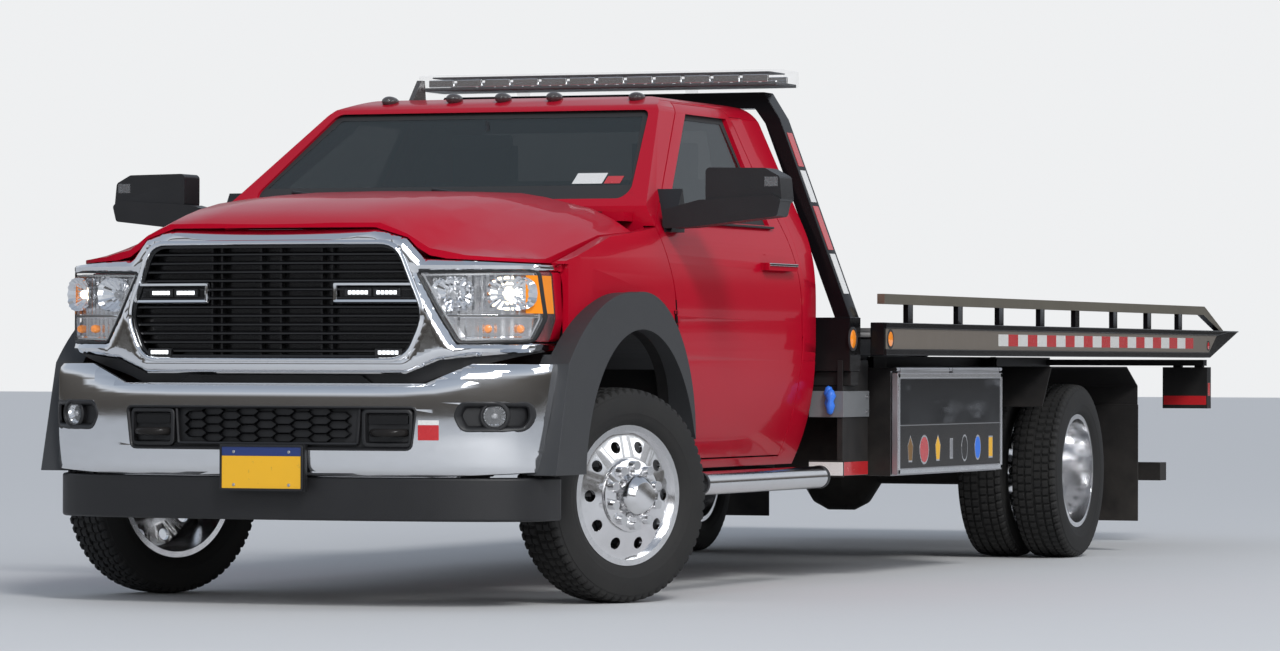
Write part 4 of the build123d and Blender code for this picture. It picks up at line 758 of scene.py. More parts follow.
def bowl_piece(name, centre, outward, half, depth, flutes):
    """A fluted bright bowl; half gives its half width and half height."""
    form = bmesh.new()
    across = Vector((-outward.y, outward.x, 0.0)).normalized()
    up = outward.cross(across).normalized()
    if up.z < 0:
        up.negate()
    steps, rows = flutes * 2, 6
    rings = []
    for shift, shares in ((0.0, range(1, rows + 1)), (-0.003, range(rows, 0, -1))):
        for share in (number / rows for number in shares):
            ring = []
            for step in range(steps):
                angle = math.tau * step / steps
                ripple = depth * (0.10 * (step % 2) + 0.05 * (round(share * rows) % 2)) * share
                wide, high = [math.copysign(abs(turn) ** 0.75, turn) for turn in (math.cos(angle), math.sin(angle))]
                ring.append(form.verts.new(centre + across * (half[0] * share * wide) + up * (half[1] * share * high)
                                           + outward * (depth * share ** 2 - ripple + shift)))
            rings.append(ring)
    capped(form, rings)
    return piece(name, form, "chrome", "chassis", 8.0)


class TOWTRUCK_PG_looks(bpy.types.PropertyGroup):
    """Colours and sizes that a user would change."""

    body_colour: bpy.props.FloatVectorProperty(
        name="Body Colour", description="Colour of the cab, doors, hood and fenders", subtype="COLOR",
        size=3, min=0.0, max=1.0, default=(0.42, 0.003, 0.018))
    panel_round: bpy.props.FloatProperty(
        name="Panel Edge", description="How far the painted panels' edges are rounded", unit="LENGTH",
        default=0.006, min=0.0, max=0.02)
    steel_round: bpy.props.FloatProperty(
        name="Steel Edge", description="How far the steel pieces' edges are rounded", unit="LENGTH",
        default=0.003, min=0.0, max=0.02)
    tread_depth: bpy.props.FloatProperty(
        name="Tread Depth", description="Depth of the grooves in the tyres", unit="LENGTH",
        default=0.011, min=0.0, max=0.02)
    tread_pitches: bpy.props.IntProperty(
        name="Tread Blocks", description="How many blocks run round each tyre", default=66, min=20, max=90)
    grille_slats: bpy.props.IntProperty(
        name="Grille Slats", description="How many slats the grille has", default=12, min=4, max=20)
    mesh_cell: bpy.props.FloatProperty(
        name="Bumper Mesh Cell", description="Width of one cell of the bumper's mesh", unit="LENGTH",
        default=0.095, min=0.02, max=0.12)


class TOWTRUCK_OT_finishes(bpy.types.Operator):
    """Makes the materials and finishes the CAD nodes that stay as they are"""

    bl_idname = "tow_truck.finishes"
    bl_label = "Finishes"

    def execute(self, context):
        make_finishes()
        stays = {
            "engine_block": "cast", "driveline": "black", "exhaust": "steel", "fuel_tank": "black",
            "springs": "black", "front_axle": "cast", "knuckle_left": "cast", "knuckle_right": "cast",
            "tie_rod": "steel", "rear_axle": "black", "tilt_rods": "chrome", "tilt_barrels": "gloss_black",
        }
        for node, finish in stays.items():
            finish_node(node, finish)
        return {"FINISHED"}


def under_body(middle, normal):
    """Whether a face lies in the wheel arch or underneath, where the body is black."""
    arch_rear, arch_top, arch_width = 0.85, 1.16, 0.9
    floor_top, floor_width = 0.6, 0.85
    inward = normal.x * middle.x < -0.3 or normal.z < -0.35 or (normal.y < -0.6 and middle.y > 0.2)
    arch = middle.y < arch_rear and middle.z < arch_top and (inward or abs(middle.x) < arch_width)
    return arch or (middle.z < floor_top and abs(middle.x) < floor_width)


# Height, rear edge of the door and width out of the cab's skin, up the pillar behind the door.
PILLAR = ((1.0, 1.928, 0.9849), (1.05, 1.924, 0.9851), (1.1, 1.919, 0.9868), (1.15, 1.914, 0.9862),
          (1.2, 1.91, 0.9827), (1.25, 1.905, 0.9756), (1.3, 1.899, 0.9652), (1.35, 1.889, 0.9514),
          (1.4, 1.879, 0.9338), (1.45, 1.869, 0.9117), (1.5, 1.859, 0.8888), (1.6, 1.838, 0.8431),
          (1.7, 1.821, 0.7973), (1.8, 1.817, 0.7516), (1.85, 1.815, 0.7287), (1.888, 1.813, 0.709))
# How far back the pillar ends, its gap to the door and its thickness
PILLAR_REAR = 1.9482
PILLAR_GAP = 0.009
PILLAR_DEPTH = 0.03


class TOWTRUCK_OT_cab(bpy.types.Operator):
    """Dresses the painted cab, doors, hood and fenders"""

    bl_idname = "tow_truck.cab"
    bl_label = "Cab"

    def execute(self, context):
        edge = context.scene.tow_truck_looks.panel_round
        for node in ("cab_roof", "cab_back", "cab_floor", "cab_front", "door_left", "door_right", "hood",
                     "front_fenders"):
            panel = dress(node, "paint", edge, 3)
            if node not in ("cab_roof", "cab_back", "hood"):
                two_tone(panel, "black", under_body)
        dress("fender_flares", "flare", 0.02, 4)
        dress("dashboard", "dash", 0.01, 3)
        dress("seats", "cloth", 0.035, 4)
        for node in ("cab_glass", "door_glass_left", "door_glass_right"):
            dress(node, "glass", 0.0005, 1)
        self.fittings()
        self.pillars()
        return {"FINISHED"}

    def pillars(self):
        """The pillar between the door's rear edge and the cab's back, flush with both."""
        for side, word in SIDES:
            form = bmesh.new()
            rings = []
            for z, door, out in PILLAR:
                corners = oblong(door + PILLAR_GAP, PILLAR_REAR, out, out - PILLAR_DEPTH)
                rings.append([form.verts.new(at(side * x, y, z)) for y, x in corners])
            capped(form, rings)
            piece(f"door_pillar_{word}", form, "paint", "chassis")

    def fittings(self):
        """Handles, seals, cowl, wipers, the screen's dark border with two blank stickers, and the inside mirror."""
        for side, word in SIDES:
            body = f"door_{word}"
            grip_x = side * 1.006
            box_piece(f"door_handle_grip_{word}", at(grip_x - side * 0.004, 1.492, 1.279),
                      at(grip_x + side * 0.006, 1.815, 1.291), "chrome", body, 0.003)
            cup = [(0.0, 0.0), (0.0, 0.042), (0.001, 0.05), (0.004, 0.052), (0.006, 0.05), (0.0065, 0.0)]
            lathe_piece(f"door_handle_cup_{word}", cup[:1] + cup, at(side * 0.957, 1.56, 1.277), (side, 0, 0.08),
                        "paint", body, 32)
            box_piece(f"window_seal_{word}", at(side * 0.905, 0.66, 1.432), at(side * 0.935, 1.74, 1.441),
                      "rubber", body, 0.003)
            glass = f"door_glass_{word}"
            low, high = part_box(glass)
            inner = [(low.y + 0.028, low.z + 0.022), (high.y - 0.03, low.z + 0.022), (high.y - 0.045, high.z - 0.024),
                     (low.y + 0.49, high.z - 0.024)]
            skin_patch(f"door_glass_border_{word}", glass, inner, (side, 0.0, 0.0), "rubber", inside=False)
        screen = [(-0.77, 1.575), (0.77, 1.575), (0.648, 1.858), (-0.648, 1.858)]
        skin_patch("screen_border", "cab_glass", screen, (0.0, -1.0, 0.0), "rubber", inside=False, reach=1.0)
        for name, sticker, finish in (("pale", oblong(0.522, 0.647, 1.582, 1.625), "white_tape"),
                                      ("red", oblong(0.655, 0.722, 1.582, 1.612), "red_tape")):
            skin_patch(f"screen_sticker_{name}", "cab_glass", sticker, (0.0, -1.0, 0.0), finish, 0.0004, reach=1.0)
        stem = [at(0.0, 0.98, 1.845), at(0.02, 0.95, 1.81), at(0.0, 0.93, 1.78)]
        tube_piece("inside_mirror_stem", [stem], 0.007, "trim", "chassis", 10)
        mirror = box_piece("inside_mirror", at(-0.13, 0.92, 1.73), at(0.13, 0.95, 1.79), "trim", "chassis", 0.014)
        mirror.modifiers["edge_round"].segments = 3
        wiper_paths = []
        for start, end in (((-0.08, 0.40, 1.478), (-0.62, 0.50, 1.555)), ((0.50, 0.40, 1.478), (-0.02, 0.50, 1.56))):
            middle = [(s + e) / 2 for s, e in zip(start, end)]
            wiper_paths.append([at(*start), at(middle[0], middle[1] - 0.03, middle[2] + 0.004), at(*end)])
        tube_piece("wipers", wiper_paths, 0.009, "trim", "chassis", 8)
        front_sheet("cowl_grating", oblong(-0.72, 0.72, 1.463, 1.468),
                    ((0.0, 0.375), (0.8, 0.36)), 0.0, 0.065, "trim", "chassis", 0.001)


def bumper_top(x):
    """The height of the bumper's upper edge at a distance from the middle."""
    middle_height, rise, rise_start, rise_length = 0.815, 0.07, 0.6, 0.16
    return middle_height + rise * max(0.0, min(1.0, (x - rise_start) / rise_length))


def grille_half(z):
    """Half the width of the grille's opening at a height, less near its rounded corners."""
    widest, widest_z, slope_up, slope_down, gap = 0.59, 1.06, 0.39, 0.42, 0.012
    half = widest - (z - widest_z) * slope_up if z > widest_z else widest - (widest_z - z) * slope_down
    return half - gap - max(0.0, z - 1.29, 0.93 - z) * 1.2


class TOWTRUCK_OT_front(bpy.types.Operator):
    """Builds the grille, its surround, the bumper with its mesh, hooks and lamps, and the blank plate"""

    bl_idname = "tow_truck.front"
    bl_label = "Front"

    def execute(self, context):
        looks = context.scene.tow_truck_looks
        pillow = pillow_front([(SURROUND_OUTLINE, 0.032), (GRILLE_OUTLINE, 0.012)])
        dress("grille_surround", "chrome", 0.002, 2, pillow)
        dress("bumper", "chrome", 0.008, 3, roll_front(BUMPER_CURVE, BUMPER_LEVELS, bumper_top, 0.036, 0.009))
        dress("bumper_insert", "trim", 0.004, 2)
        dress("air_dam", "trim", 0.01, 3)
        self.grille(looks.grille_slats)
        self.brackets()
        self.mesh_insert(looks.mesh_cell)
        self.hooks()
        self.fog_lamps()
        self.plate()
        return {"FINISHED"}

    def grille(self, slats):
        """Glossy black slats in the grille's opening, with a back, posts and a bright inner rim."""
        form = bmesh.new()
        pitch = (GRILLE_TOP - GRILLE_BOTTOM - 0.03) / slats
        for number in range(slats):
            z = GRILLE_BOTTOM + 0.02 + number * pitch
            half = grille_half(z + 0.006)
            blade = []
            for step in range(-14, 15):
                x = half * step / 14
                y = curve_y(FASCIA_CURVE, x)
                blade.append([form.verts.new(at(x, y + back, z + rise)) for back, rise in SLAT_SECTION])
            capped(form, blade)
        made = piece("grille_slats", form, "grille", "chassis", 25.0)
        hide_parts("grille")
        outline = rounded(GRILLE_OUTLINE, 0.06, 6, 0.05)
        rim_piece("grille_rim", outline, FASCIA_CURVE,
                  ((0.016, -0.019), (0.012, -0.025), (0.005, -0.028), (0.0, -0.025), (-0.004, -0.014), (-0.004, 0.03),
                   (0.016, 0.03)), "chrome")
        rim_piece("grille_frame", outline, FASCIA_CURVE,
                  ((-0.003, -0.004), (-0.012, -0.002), (-0.014, 0.04), (-0.003, 0.04)), "grille")
        front_sheet("grille_back", outline, FASCIA_CURVE, 0.044, 0.006, "grille", "chassis", 0.0005)
        for number, x in enumerate((-0.24, -0.2, -0.04, 0.04, 0.2, 0.24)):
            y = curve_y(FASCIA_CURVE, x)
            box_piece(f"grille_post_{number}", at(x - 0.004, y + 0.010, GRILLE_BOTTOM + 0.008),
                      at(x + 0.004, y + 0.042, GRILLE_TOP - 0.008), "grille", "chassis", 0.001)
        gap = [(-0.94, 0.93), (-0.62, 0.84), (-0.5, 0.79), (0.5, 0.79), (0.62, 0.84), (0.94, 0.93), (0.9, 0.97),
               (0.5, 0.92), (-0.5, 0.92), (-0.9, 0.97)]
        front_sheet("bumper_gap_filler", gap, FASCIA_CURVE, 0.05, 0.006, "trim", "chassis", 0.0005)
        front_sheet("lower_vent", rounded([(-0.39, 0.812), (-0.345, 0.845), (0.345, 0.845), (0.39, 0.812)], 0.008),
                    FASCIA_CURVE, 0.02, 0.03, "grille", "chassis", 0.003)

    def brackets(self):
        """Chrome brackets at the grille's sides with two strobe lamps each, and a lamp in each lower corner."""
        for side, word in SIDES:
            ends = sided(side, ((0.248, 1.102), (0.248, 1.182), (0.578, 1.182), (0.578, 1.102)))
            rim_piece(f"grille_bracket_{word}", rounded(ends, 0.014), FASCIA_CURVE,
                      ((0.0, 0.008), (-0.001, -0.006), (-0.006, -0.012), (-0.014, -0.010), (-0.018, 0.0),
                       (-0.018, 0.012)), "chrome")
            inner = sided(side, ((0.272, 1.122), (0.272, 1.162), (0.568, 1.162), (0.568, 1.122)))
            front_sheet(f"bracket_bed_{word}", rounded(inner, 0.006), FASCIA_CURVE, 0.004, 0.012, "grille", "chassis",
                        0.001)
            for number, x in enumerate((0.345, 0.452)):
                self.strobe(f"{word}_{number}", side * x, 1.142)
            self.strobe(f"{word}_low", side * 0.458, 0.926)

    def strobe(self, name, x, z):
        """A small strobe lamp: a dark case, and a lens with a row of lit elements."""
        case = oblong(x - 0.05, x + 0.05, z - 0.014, z + 0.014)
        front_sheet(f"strobe_case_{name}", rounded(case, 0.005), FASCIA_CURVE, -0.006, 0.02, "trim", "chassis", 0.002)
        elements, element_pitch = [], 0.0155
        for number in range(5):
            middle = x + (number - 2) * element_pitch
            y = curve_y(FASCIA_CURVE, middle) - 0.0085
            elements.append((at(middle - 0.0065, y, z - 0.007), at(middle + 0.0065, y + 0.004, z + 0.007)))
        boxes_piece(f"strobe_{name}", elements, "led", "chassis", 0.0015)

    def mesh_insert(self, cell):
        """The bumper's centre mesh: long hexagon cells side by side in rows."""
        form = bmesh.new()
        width, height, wall, slant = cell, 0.0318, 0.0031, 0.56
        columns = int(0.345 / (0.75 * width))
        for column in range(-columns, columns + 1):
            x = column * 0.75 * width
            for row in range(-1, 3 if column % 2 else 2):
                z = 0.6655 + (row - (0.5 if column % 2 else 0.0)) * height
                rings = []
                for inset, set_back in ((0.0, 0.007), (0.4 * wall, 0.004), (wall, 0.007), (wall, 0.022), (0.0, 0.022)):
                    half_x, half_z = width / 2 - inset * 1.2, height / 2 - inset
                    corners = [(half_x, 0.0), (half_x * slant, half_z), (-half_x * slant, half_z),
                               (-half_x, 0.0), (-half_x * slant, -half_z), (half_x * slant, -half_z)]
                    rings.append([form.verts.new(at(x + dx, curve_y(BUMPER_CURVE, x + dx) + set_back, z + dz))
                                  for dx, dz in corners])
                bridge(form, rings)
        piece("bumper_mesh", form, "grille", "chassis")
        border = rounded([(-0.372, 0.735), (0.372, 0.735), (0.362, 0.592), (-0.362, 0.592)], 0.014)
        rim_piece("bumper_mesh_frame", border, BUMPER_CURVE,
                  ((0.0, 0.02), (0.0, 0.006), (-0.004, 0.003), (-0.01, 0.006), (-0.01, 0.02)), "trim")
        edge = rounded([(-0.579, 0.729), (0.579, 0.729), (0.560, 0.578), (-0.560, 0.578)], 0.022)
        rim_piece("bumper_opening_rim", edge, BUMPER_CURVE,
                  ((0.005, 0.004), (0.004, -0.002), (-0.001, -0.003), (-0.007, 0.003), (-0.007, 0.024), (0.005, 0.024)),
                  "trim")

    def hooks(self):
        """A tow hook in each end of the bumper's opening, with its black bezel and a dark pocket."""
        for side, word in SIDES:
            middle = side * 0.47
            bar_y = curve_y(BUMPER_CURVE, middle)
            loop = []
            for step in range(17):
                angle = math.pi * step / 16
                loop.append(at(middle + 0.062 * math.cos(angle), bar_y + 0.03 - 0.05 * math.sin(angle), 0.638))
            tube_piece(f"tow_hook_{word}", [loop], 0.015, "gloss_black", "chassis", 12)
            pocket = rounded([(middle - 0.088, 0.592), (middle + 0.088, 0.592), (middle + 0.09, 0.718),
                              (middle - 0.09, 0.718)], 0.02)
            rim_piece(f"hook_bezel_{word}", pocket, BUMPER_CURVE,
                      ((0.006, 0.02), (0.006, 0.006), (0.0, 0.002), (-0.008, 0.004), (-0.014, 0.02)), "trim")
            bar = rounded(oblong(middle - 0.074, middle + 0.074, 0.668, 0.7), 0.008)
            front_sheet(f"hook_shelf_{word}", bar, BUMPER_CURVE, 0.014, 0.01, "grille", "chassis", 0.001)

    def fog_lamps(self):
        """Round fog lamps in swept black bezels at the bumper's ends."""
        for side, word in SIDES:
            centre_x = side * 0.842
            y = curve_y(BUMPER_CURVE, centre_x)
            outward = Vector((side * 0.34, -0.94, 0.0)).normalized()
            centre = at(centre_x, y + 0.018, 0.7)
            ring = [(-0.02, 0.055), (0.012, 0.055), (0.016, 0.05), (0.016, 0.044), (0.008, 0.04), (-0.02, 0.04)]
            lathe_piece(f"fog_lamp_rim_{word}", ring, centre, outward, "trim", "chassis", 32)
            bowl_piece(f"fog_lamp_bowl_{word}", centre - outward * 0.02, outward, (0.04, 0.04), 0.022, 20)
            bulb = [(-0.02, 0.0), (-0.02, 0.011), (0.0, 0.012), (0.004, 0.008), (0.005, 0.0)]
            lathe_piece(f"fog_lamp_bulb_{word}", bulb, centre, outward, "steel", "chassis", 20)
            lens = [(0.013, 0.0), (0.012, 0.02), (0.008, 0.043), (0.005, 0.043), (0.009, 0.02), (0.010, 0.0)]
            lathe_piece(f"fog_lamp_lens_{word}", lens, centre, outward, "lens", "chassis", 32)
            outer = sided(side, ((0.712, 0.700), (0.735, 0.747), (0.955, 0.747), (0.962, 0.690), (0.940, 0.646),
                                 (0.740, 0.646)))
            section = ((0.004, 0.02), (0.004, 0.0), (-0.001, -0.003), (-0.010, 0.002), (-0.018, 0.016),
                       (-0.018, 0.024))
            rim_piece(f"fog_bezel_{word}", rounded(outer, 0.022), BUMPER_CURVE, section, "trim")

    def plate(self):
        """The blank plate: yellow with a dark band along its top, a black frame and four bolts."""
        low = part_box("bumper_insert")[0]
        front = low.y - FRONT_AXLE_Y
        flat = ((0.0, front), (1.0, front))
        shown = bpy.data.objects["bumper_insert_shown"]
        for vertex in shown.data.vertices:
            if vertex.co.y < low.y + PLATE_ROOM:
                vertex.co.y = low.y + PLATE_ROOM
        half, low_z, high_z = 0.166, 0.427, 0.593
        rim_piece("plate_frame", rounded(oblong(-half, half, low_z, high_z), 0.012), flat,
                  ((0.0, 0.012), (0.0, 0.002), (-0.003, 0.0005), (-0.008, 0.0015), (-0.009, 0.012)), "trim")
        inner, split = half - 0.008, 0.552
        for name, bottom, top, finish in (("plate_face", low_z + 0.008, split, "plate"),
                                          ("plate_band", split + 0.0004, high_z - 0.008, "plate_band")):
            front_sheet(name, oblong(-inner, inner, bottom, top), flat, 0.004, 0.003, finish, "chassis", 0.0006)
        head = [(0.0, 0.006), (0.0015, 0.0055), (0.0026, 0.003), (0.003, 0.0)]
        for number, (x, z) in enumerate(((-0.11, 0.567), (0.11, 0.567), (-0.11, 0.448), (0.11, 0.448))):
            lathe_piece(f"plate_bolt_{number}", [(0.0, 0.0)] + head, at(x, front + 0.0038, z), (0, -1, 0), "steel",
                        "chassis", 16)
        for name, outline, finish in (
                ("bumper_sticker", rounded(oblong(0.585, 0.66, 0.612, 0.6665), 0.003), "red_tape"),
                ("bumper_sticker_top", oblong(0.585, 0.66, 0.667, 0.684), "white_tape")):
            front_sheet(name, outline, BUMPER_CURVE, -0.001, 0.004, finish, "chassis", 0.0003)


class TOWTRUCK_OT_lamps(bpy.types.Operator):
    """Builds the headlamps, roof lamps, light bar, side markers and tail lamps"""

    bl_idname = "tow_truck.lamps"
    bl_label = "Lamps"

    def execute(self, context):
        self.headlamps()
        self.roof_lamps()
        self.light_bar()
        self.markers()
        self.tail_lamps()
        return {"FINISHED"}

    def headlamps(self):
        """Clear lenses over silver housings with two fluted bowls, turn bulbs and an amber strip at the side."""
        lens = dress("headlamps", "lens", 0.006, 2)
        lens.name = "headlamp_lenses"
        for side, word in SIDES:
            outline = rounded(sided(side, HEADLAMP_OUTLINE), 0.016)
            rim_piece(f"headlamp_gasket_{word}", outline, FASCIA_CURVE,
                      ((-0.002, 0.012), (-0.002, -0.002), (0.002, -0.004), (0.005, -0.002), (0.005, 0.012)), "trim")
            rim_piece(f"headlamp_edge_{word}", outset(outline, -0.008), FASCIA_CURVE,
                      ((0.0, 0.035), (0.0, 0.01), (-0.006, 0.01), (-0.012, 0.035)), "silver")
            front_sheet(f"headlamp_back_{word}", outset(outline, -0.006), FASCIA_CURVE, 0.05, 0.005, "silver",
                        "chassis", 0.0003, 0.012, flute=0.006)
            high_y = curve_y(FASCIA_CURVE, 0.672)
            bowl_piece(f"headlamp_high_beam_{word}", at(side * 0.672, high_y + 0.055, 1.137),
                       Vector((side * 0.22, -0.97, 0.0)).normalized(), (0.078, 0.062), 0.042, 16)
            low_outward = Vector((side * 0.62, -0.785, 0.0)).normalized()
            low_centre = at(side * 0.852, curve_y(FASCIA_CURVE, 0.852) + 0.042, 1.140)
            bowl_piece(f"headlamp_low_beam_{word}", low_centre, low_outward, (0.094, 0.062), 0.04, 18)
            bulb = [(0.0, 0.0), (0.0, 0.016), (0.016, 0.016), (0.024, 0.011), (0.026, 0.0)]
            for name, place, outward, finish in (
                    ("high", at(side * 0.672, high_y + 0.052, 1.137), (side * 0.22, -0.97, 0.0), "steel"),
                    ("low", low_centre, low_outward, "warm")):
                lathe_piece(f"headlamp_bulb_{name}_{word}", bulb, place, outward, finish, "chassis", 20)
            shelf = sided(side, ((0.655, 1.053), (0.944, 1.053), (0.944, 1.064), (0.64, 1.064)))
            front_sheet(f"headlamp_shelf_{word}", shelf, FASCIA_CURVE, 0.012, 0.045, "chrome", "chassis", 0.002)
            for number, x in enumerate((0.79, 0.885)):
                bulb = [(-0.01, 0.0), (-0.01, 0.014), (0.006, 0.016), (0.016, 0.012), (0.021, 0.0)]
                lathe_piece(f"turn_bulb_{word}_{number}", bulb, at(side * x, curve_y(FASCIA_CURVE, x) + 0.035, 1.012),
                            (side * 0.3, -1.0, 0.0), "amber", "chassis", 20)
            for name, near, far, low, high, finish in (("side_amber", -0.765, -0.60, 1.068, 1.205, "amber"),
                                                       ("side_cover", -0.586, -0.4, 0.95, 1.3, "paint")):
                near, far = [at(0.0, y, 0.0).y for y in (near, far)]
                skin_patch(f"headlamp_{name}_{word}", "headlamps", oblong(near, far, low, high), (side, 0.0, 0.0),
                           finish)

    def roof_lamps(self):
        """Smoked lamps on the roof, drawn out low and long, and the antenna fin."""
        def flatten(form):
            front, limit = at(0.0, 1.19, 0.0).y, at(0.0, 1.235, 0.0).y
            fin_z, foot_z, stretch_front, stretch_back, lowering = 1.995, 1.935, 1.3, 2.2, 0.28
            for vertex in form.verts:
                if vertex.co.z < fin_z and vertex.co.y < limit:
                    back = vertex.co.y - front
                    vertex.co.y = front + back * (stretch_front if back < 0 else stretch_back)
                    vertex.co.z -= max(0.0, vertex.co.z - foot_z) * lowering
        dress("roof_lamps", "smoked", 0.001, 1, flatten)

    def light_bar(self):
        """The light bar: a low black base, clear lens, and rows of lamp modules inside."""
        low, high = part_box("light_bar")
        lens = dress("light_bar", "lens", 0.008, 3)
        lens.name = "light_bar_lens"
        box_piece("light_bar_base", (low.x + 0.02, low.y + 0.02, high.z - 0.066),
                  (high.x - 0.02, high.y - 0.02, high.z - 0.052), "trim", "chassis", 0.004)
        count = 12
        span = (high.x - low.x - 0.1) / count
        modules = []
        for number in range(count):
            x = low.x + 0.05 + span * number
            for y in (low.y + 0.02, high.y - 0.035):
                modules.append(((x + 0.008, y, high.z - 0.05), (x + span - 0.008, y + 0.012, high.z - 0.02)))
        boxes_piece("light_bar_modules", modules, "chrome", "chassis", 0.002)
        box_piece("light_bar_lid", (low.x + 0.06, low.y + 0.05, high.z - 0.012),
                  (high.x - 0.06, high.y - 0.05, high.z - 0.006), "trim", "chassis", 0.003)

    def markers(self):
        """Amber and red side lamps on the bed and the hoop's feet."""
        for side, word in SIDES:
            outward = (side, 0.0, 0.0)
            dome = [(0.0, 0.04), (0.004, 0.04), (0.006, 0.034), (0.009, 0.02), (0.010, 0.0), (0.0, 0.0)]
            rim = [(0.0, 0.05), (0.006, 0.05), (0.008, 0.044), (0.006, 0.038), (0.0, 0.038)]
            places = (("amber", 1.105, 2.2, 0.992, "chassis", 1.0, 1.0),
                      ("amber", 1.2015, 2.40, 0.993, "bed", 0.8, 0.35),
                      ("red_lens", 1.2015, 7.24, 0.985, "bed", 0.5, 0.35))
            for number, (finish, x, y, z, body, size, flat) in enumerate(places):
                for name, profile, paint in (("side_lamp", dome, finish), ("side_lamp_rim", rim, "rubber")):
                    scaled = [(along * flat, radius * size) for along, radius in profile]
                    lathe_piece(f"{name}_{word}_{number}", scaled, at(side * x, y, z), outward, paint, body, 28)

    def tail_lamps(self):
        """Red, clear and amber lamps on the tail lamp boxes, each with red tape and a side marker."""
        for side, word in SIDES:
            back = 7.405
            for name, near, far, low, high, finish in (("tail_red", 0.95, 1.16, 0.70, 0.765, "red_lens"),
                                                       ("tail_clear", 0.95, 1.04, 0.775, 0.83, "lens"),
                                                       ("tail_amber", 1.05, 1.16, 0.775, 0.83, "amber")):
                box_piece(f"{name}_{word}", at(side * near, back - 0.004, low), at(side * far, back, high), finish,
                          "tilt_frame", 0.003)
            box_piece(f"front_red_strip_{word}", at(side * 0.945, 7.3345, 0.690), at(side * 1.165, 7.337, 0.735),
                      "red_tape", "tilt_frame", 0.001)
            box_piece(f"side_red_marker_{word}", at(side * 1.167, 7.35, 0.735), at(side * 1.1705, 7.39, 0.80),
                      "red_lens", "tilt_frame", 0.001)


class TOWTRUCK_OT_mirrors(bpy.types.Operator):
    """Dresses the towing mirrors and adds their glass and lamp"""

    bl_idname = "tow_truck.mirrors"
    bl_label = "Mirrors"

    def execute(self, context):
        for side, word in SIDES:
            node = f"mirror_{word}"
            dress(node, "trim", 0.012, 3)
            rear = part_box(node)[1].y - FRONT_AXLE_Y
            flat = ((0.0, rear), (2.0, rear))
            glass = rounded(sided(side, ((1.128, 1.513), (1.128, 1.618), (1.338, 1.615), (1.392, 1.59),
                                         (1.395, 1.512))), 0.012)
            front_sheet(f"mirror_glass_{word}", glass, flat, -0.001, 0.0025, "mirror", f"door_{word}", 0.0004)
            rim_piece(f"mirror_seal_{word}", glass, flat,
                      ((0.0, 0.0), (0.0, 0.0035), (0.004, 0.0035), (0.006, -0.001)), "rubber", f"door_{word}")
            skin_patch(f"mirror_lamp_{word}", node, oblong(side * 1.345, side * 1.398, 1.562, 1.598),
                       (0.0, -1.0, 0.0), "lens", reach=0.15)
        return {"FINISHED"}


# Half the distance between the middles of twin tyres
TWIN_HALF = 0.13
# How deep the grooves across the shoulders and blocks are, as shares of the tread's depth
SHOULDER_SHARE = 0.9
BLOCK_SHARE = 0.8


def tyre_section():
    """The tyre's section as (distance from the middle, radius, kind), round the tread and both sidewalls."""
    half_tread = [(0.0, 0.4, "groove"), (0.006, 0.4, "groove"), (0.0075, 0.4, "block"), (0.034, 0.3995, "block"),
                  (0.0355, 0.3995, "groove"), (0.0435, 0.399, "groove"), (0.045, 0.399, "block"),
                  (0.07, 0.3975, "block"), (0.0715, 0.397, "groove"), (0.0775, 0.397, "groove"),
                  (0.079, 0.3965, "shoulder"), (0.093, 0.394, "shoulder"), (0.101, 0.386, "shoulder"),
                  (0.105, 0.372, "side"), (0.107, 0.3715, "side"), (0.1095, 0.36, "side"), (0.1125, 0.335, "side"),
                  (0.113, 0.322, "side"), (0.1115, 0.305, "side"), (0.1105, 0.3035, "side"), (0.1085, 0.29, "side"),
                  (0.1015, 0.275, "side"), (0.0925, 0.265, "side"), (0.0887, 0.2605, "side"),
                  (0.0887, 0.2485, "side"), (0.075, 0.2485, "side")]
    mirrored = [(-along, radius, kind) for along, radius, kind in half_tread[1:]]
    return half_tread + mirrored[::-1]


TYRE_SECTION = tyre_section()


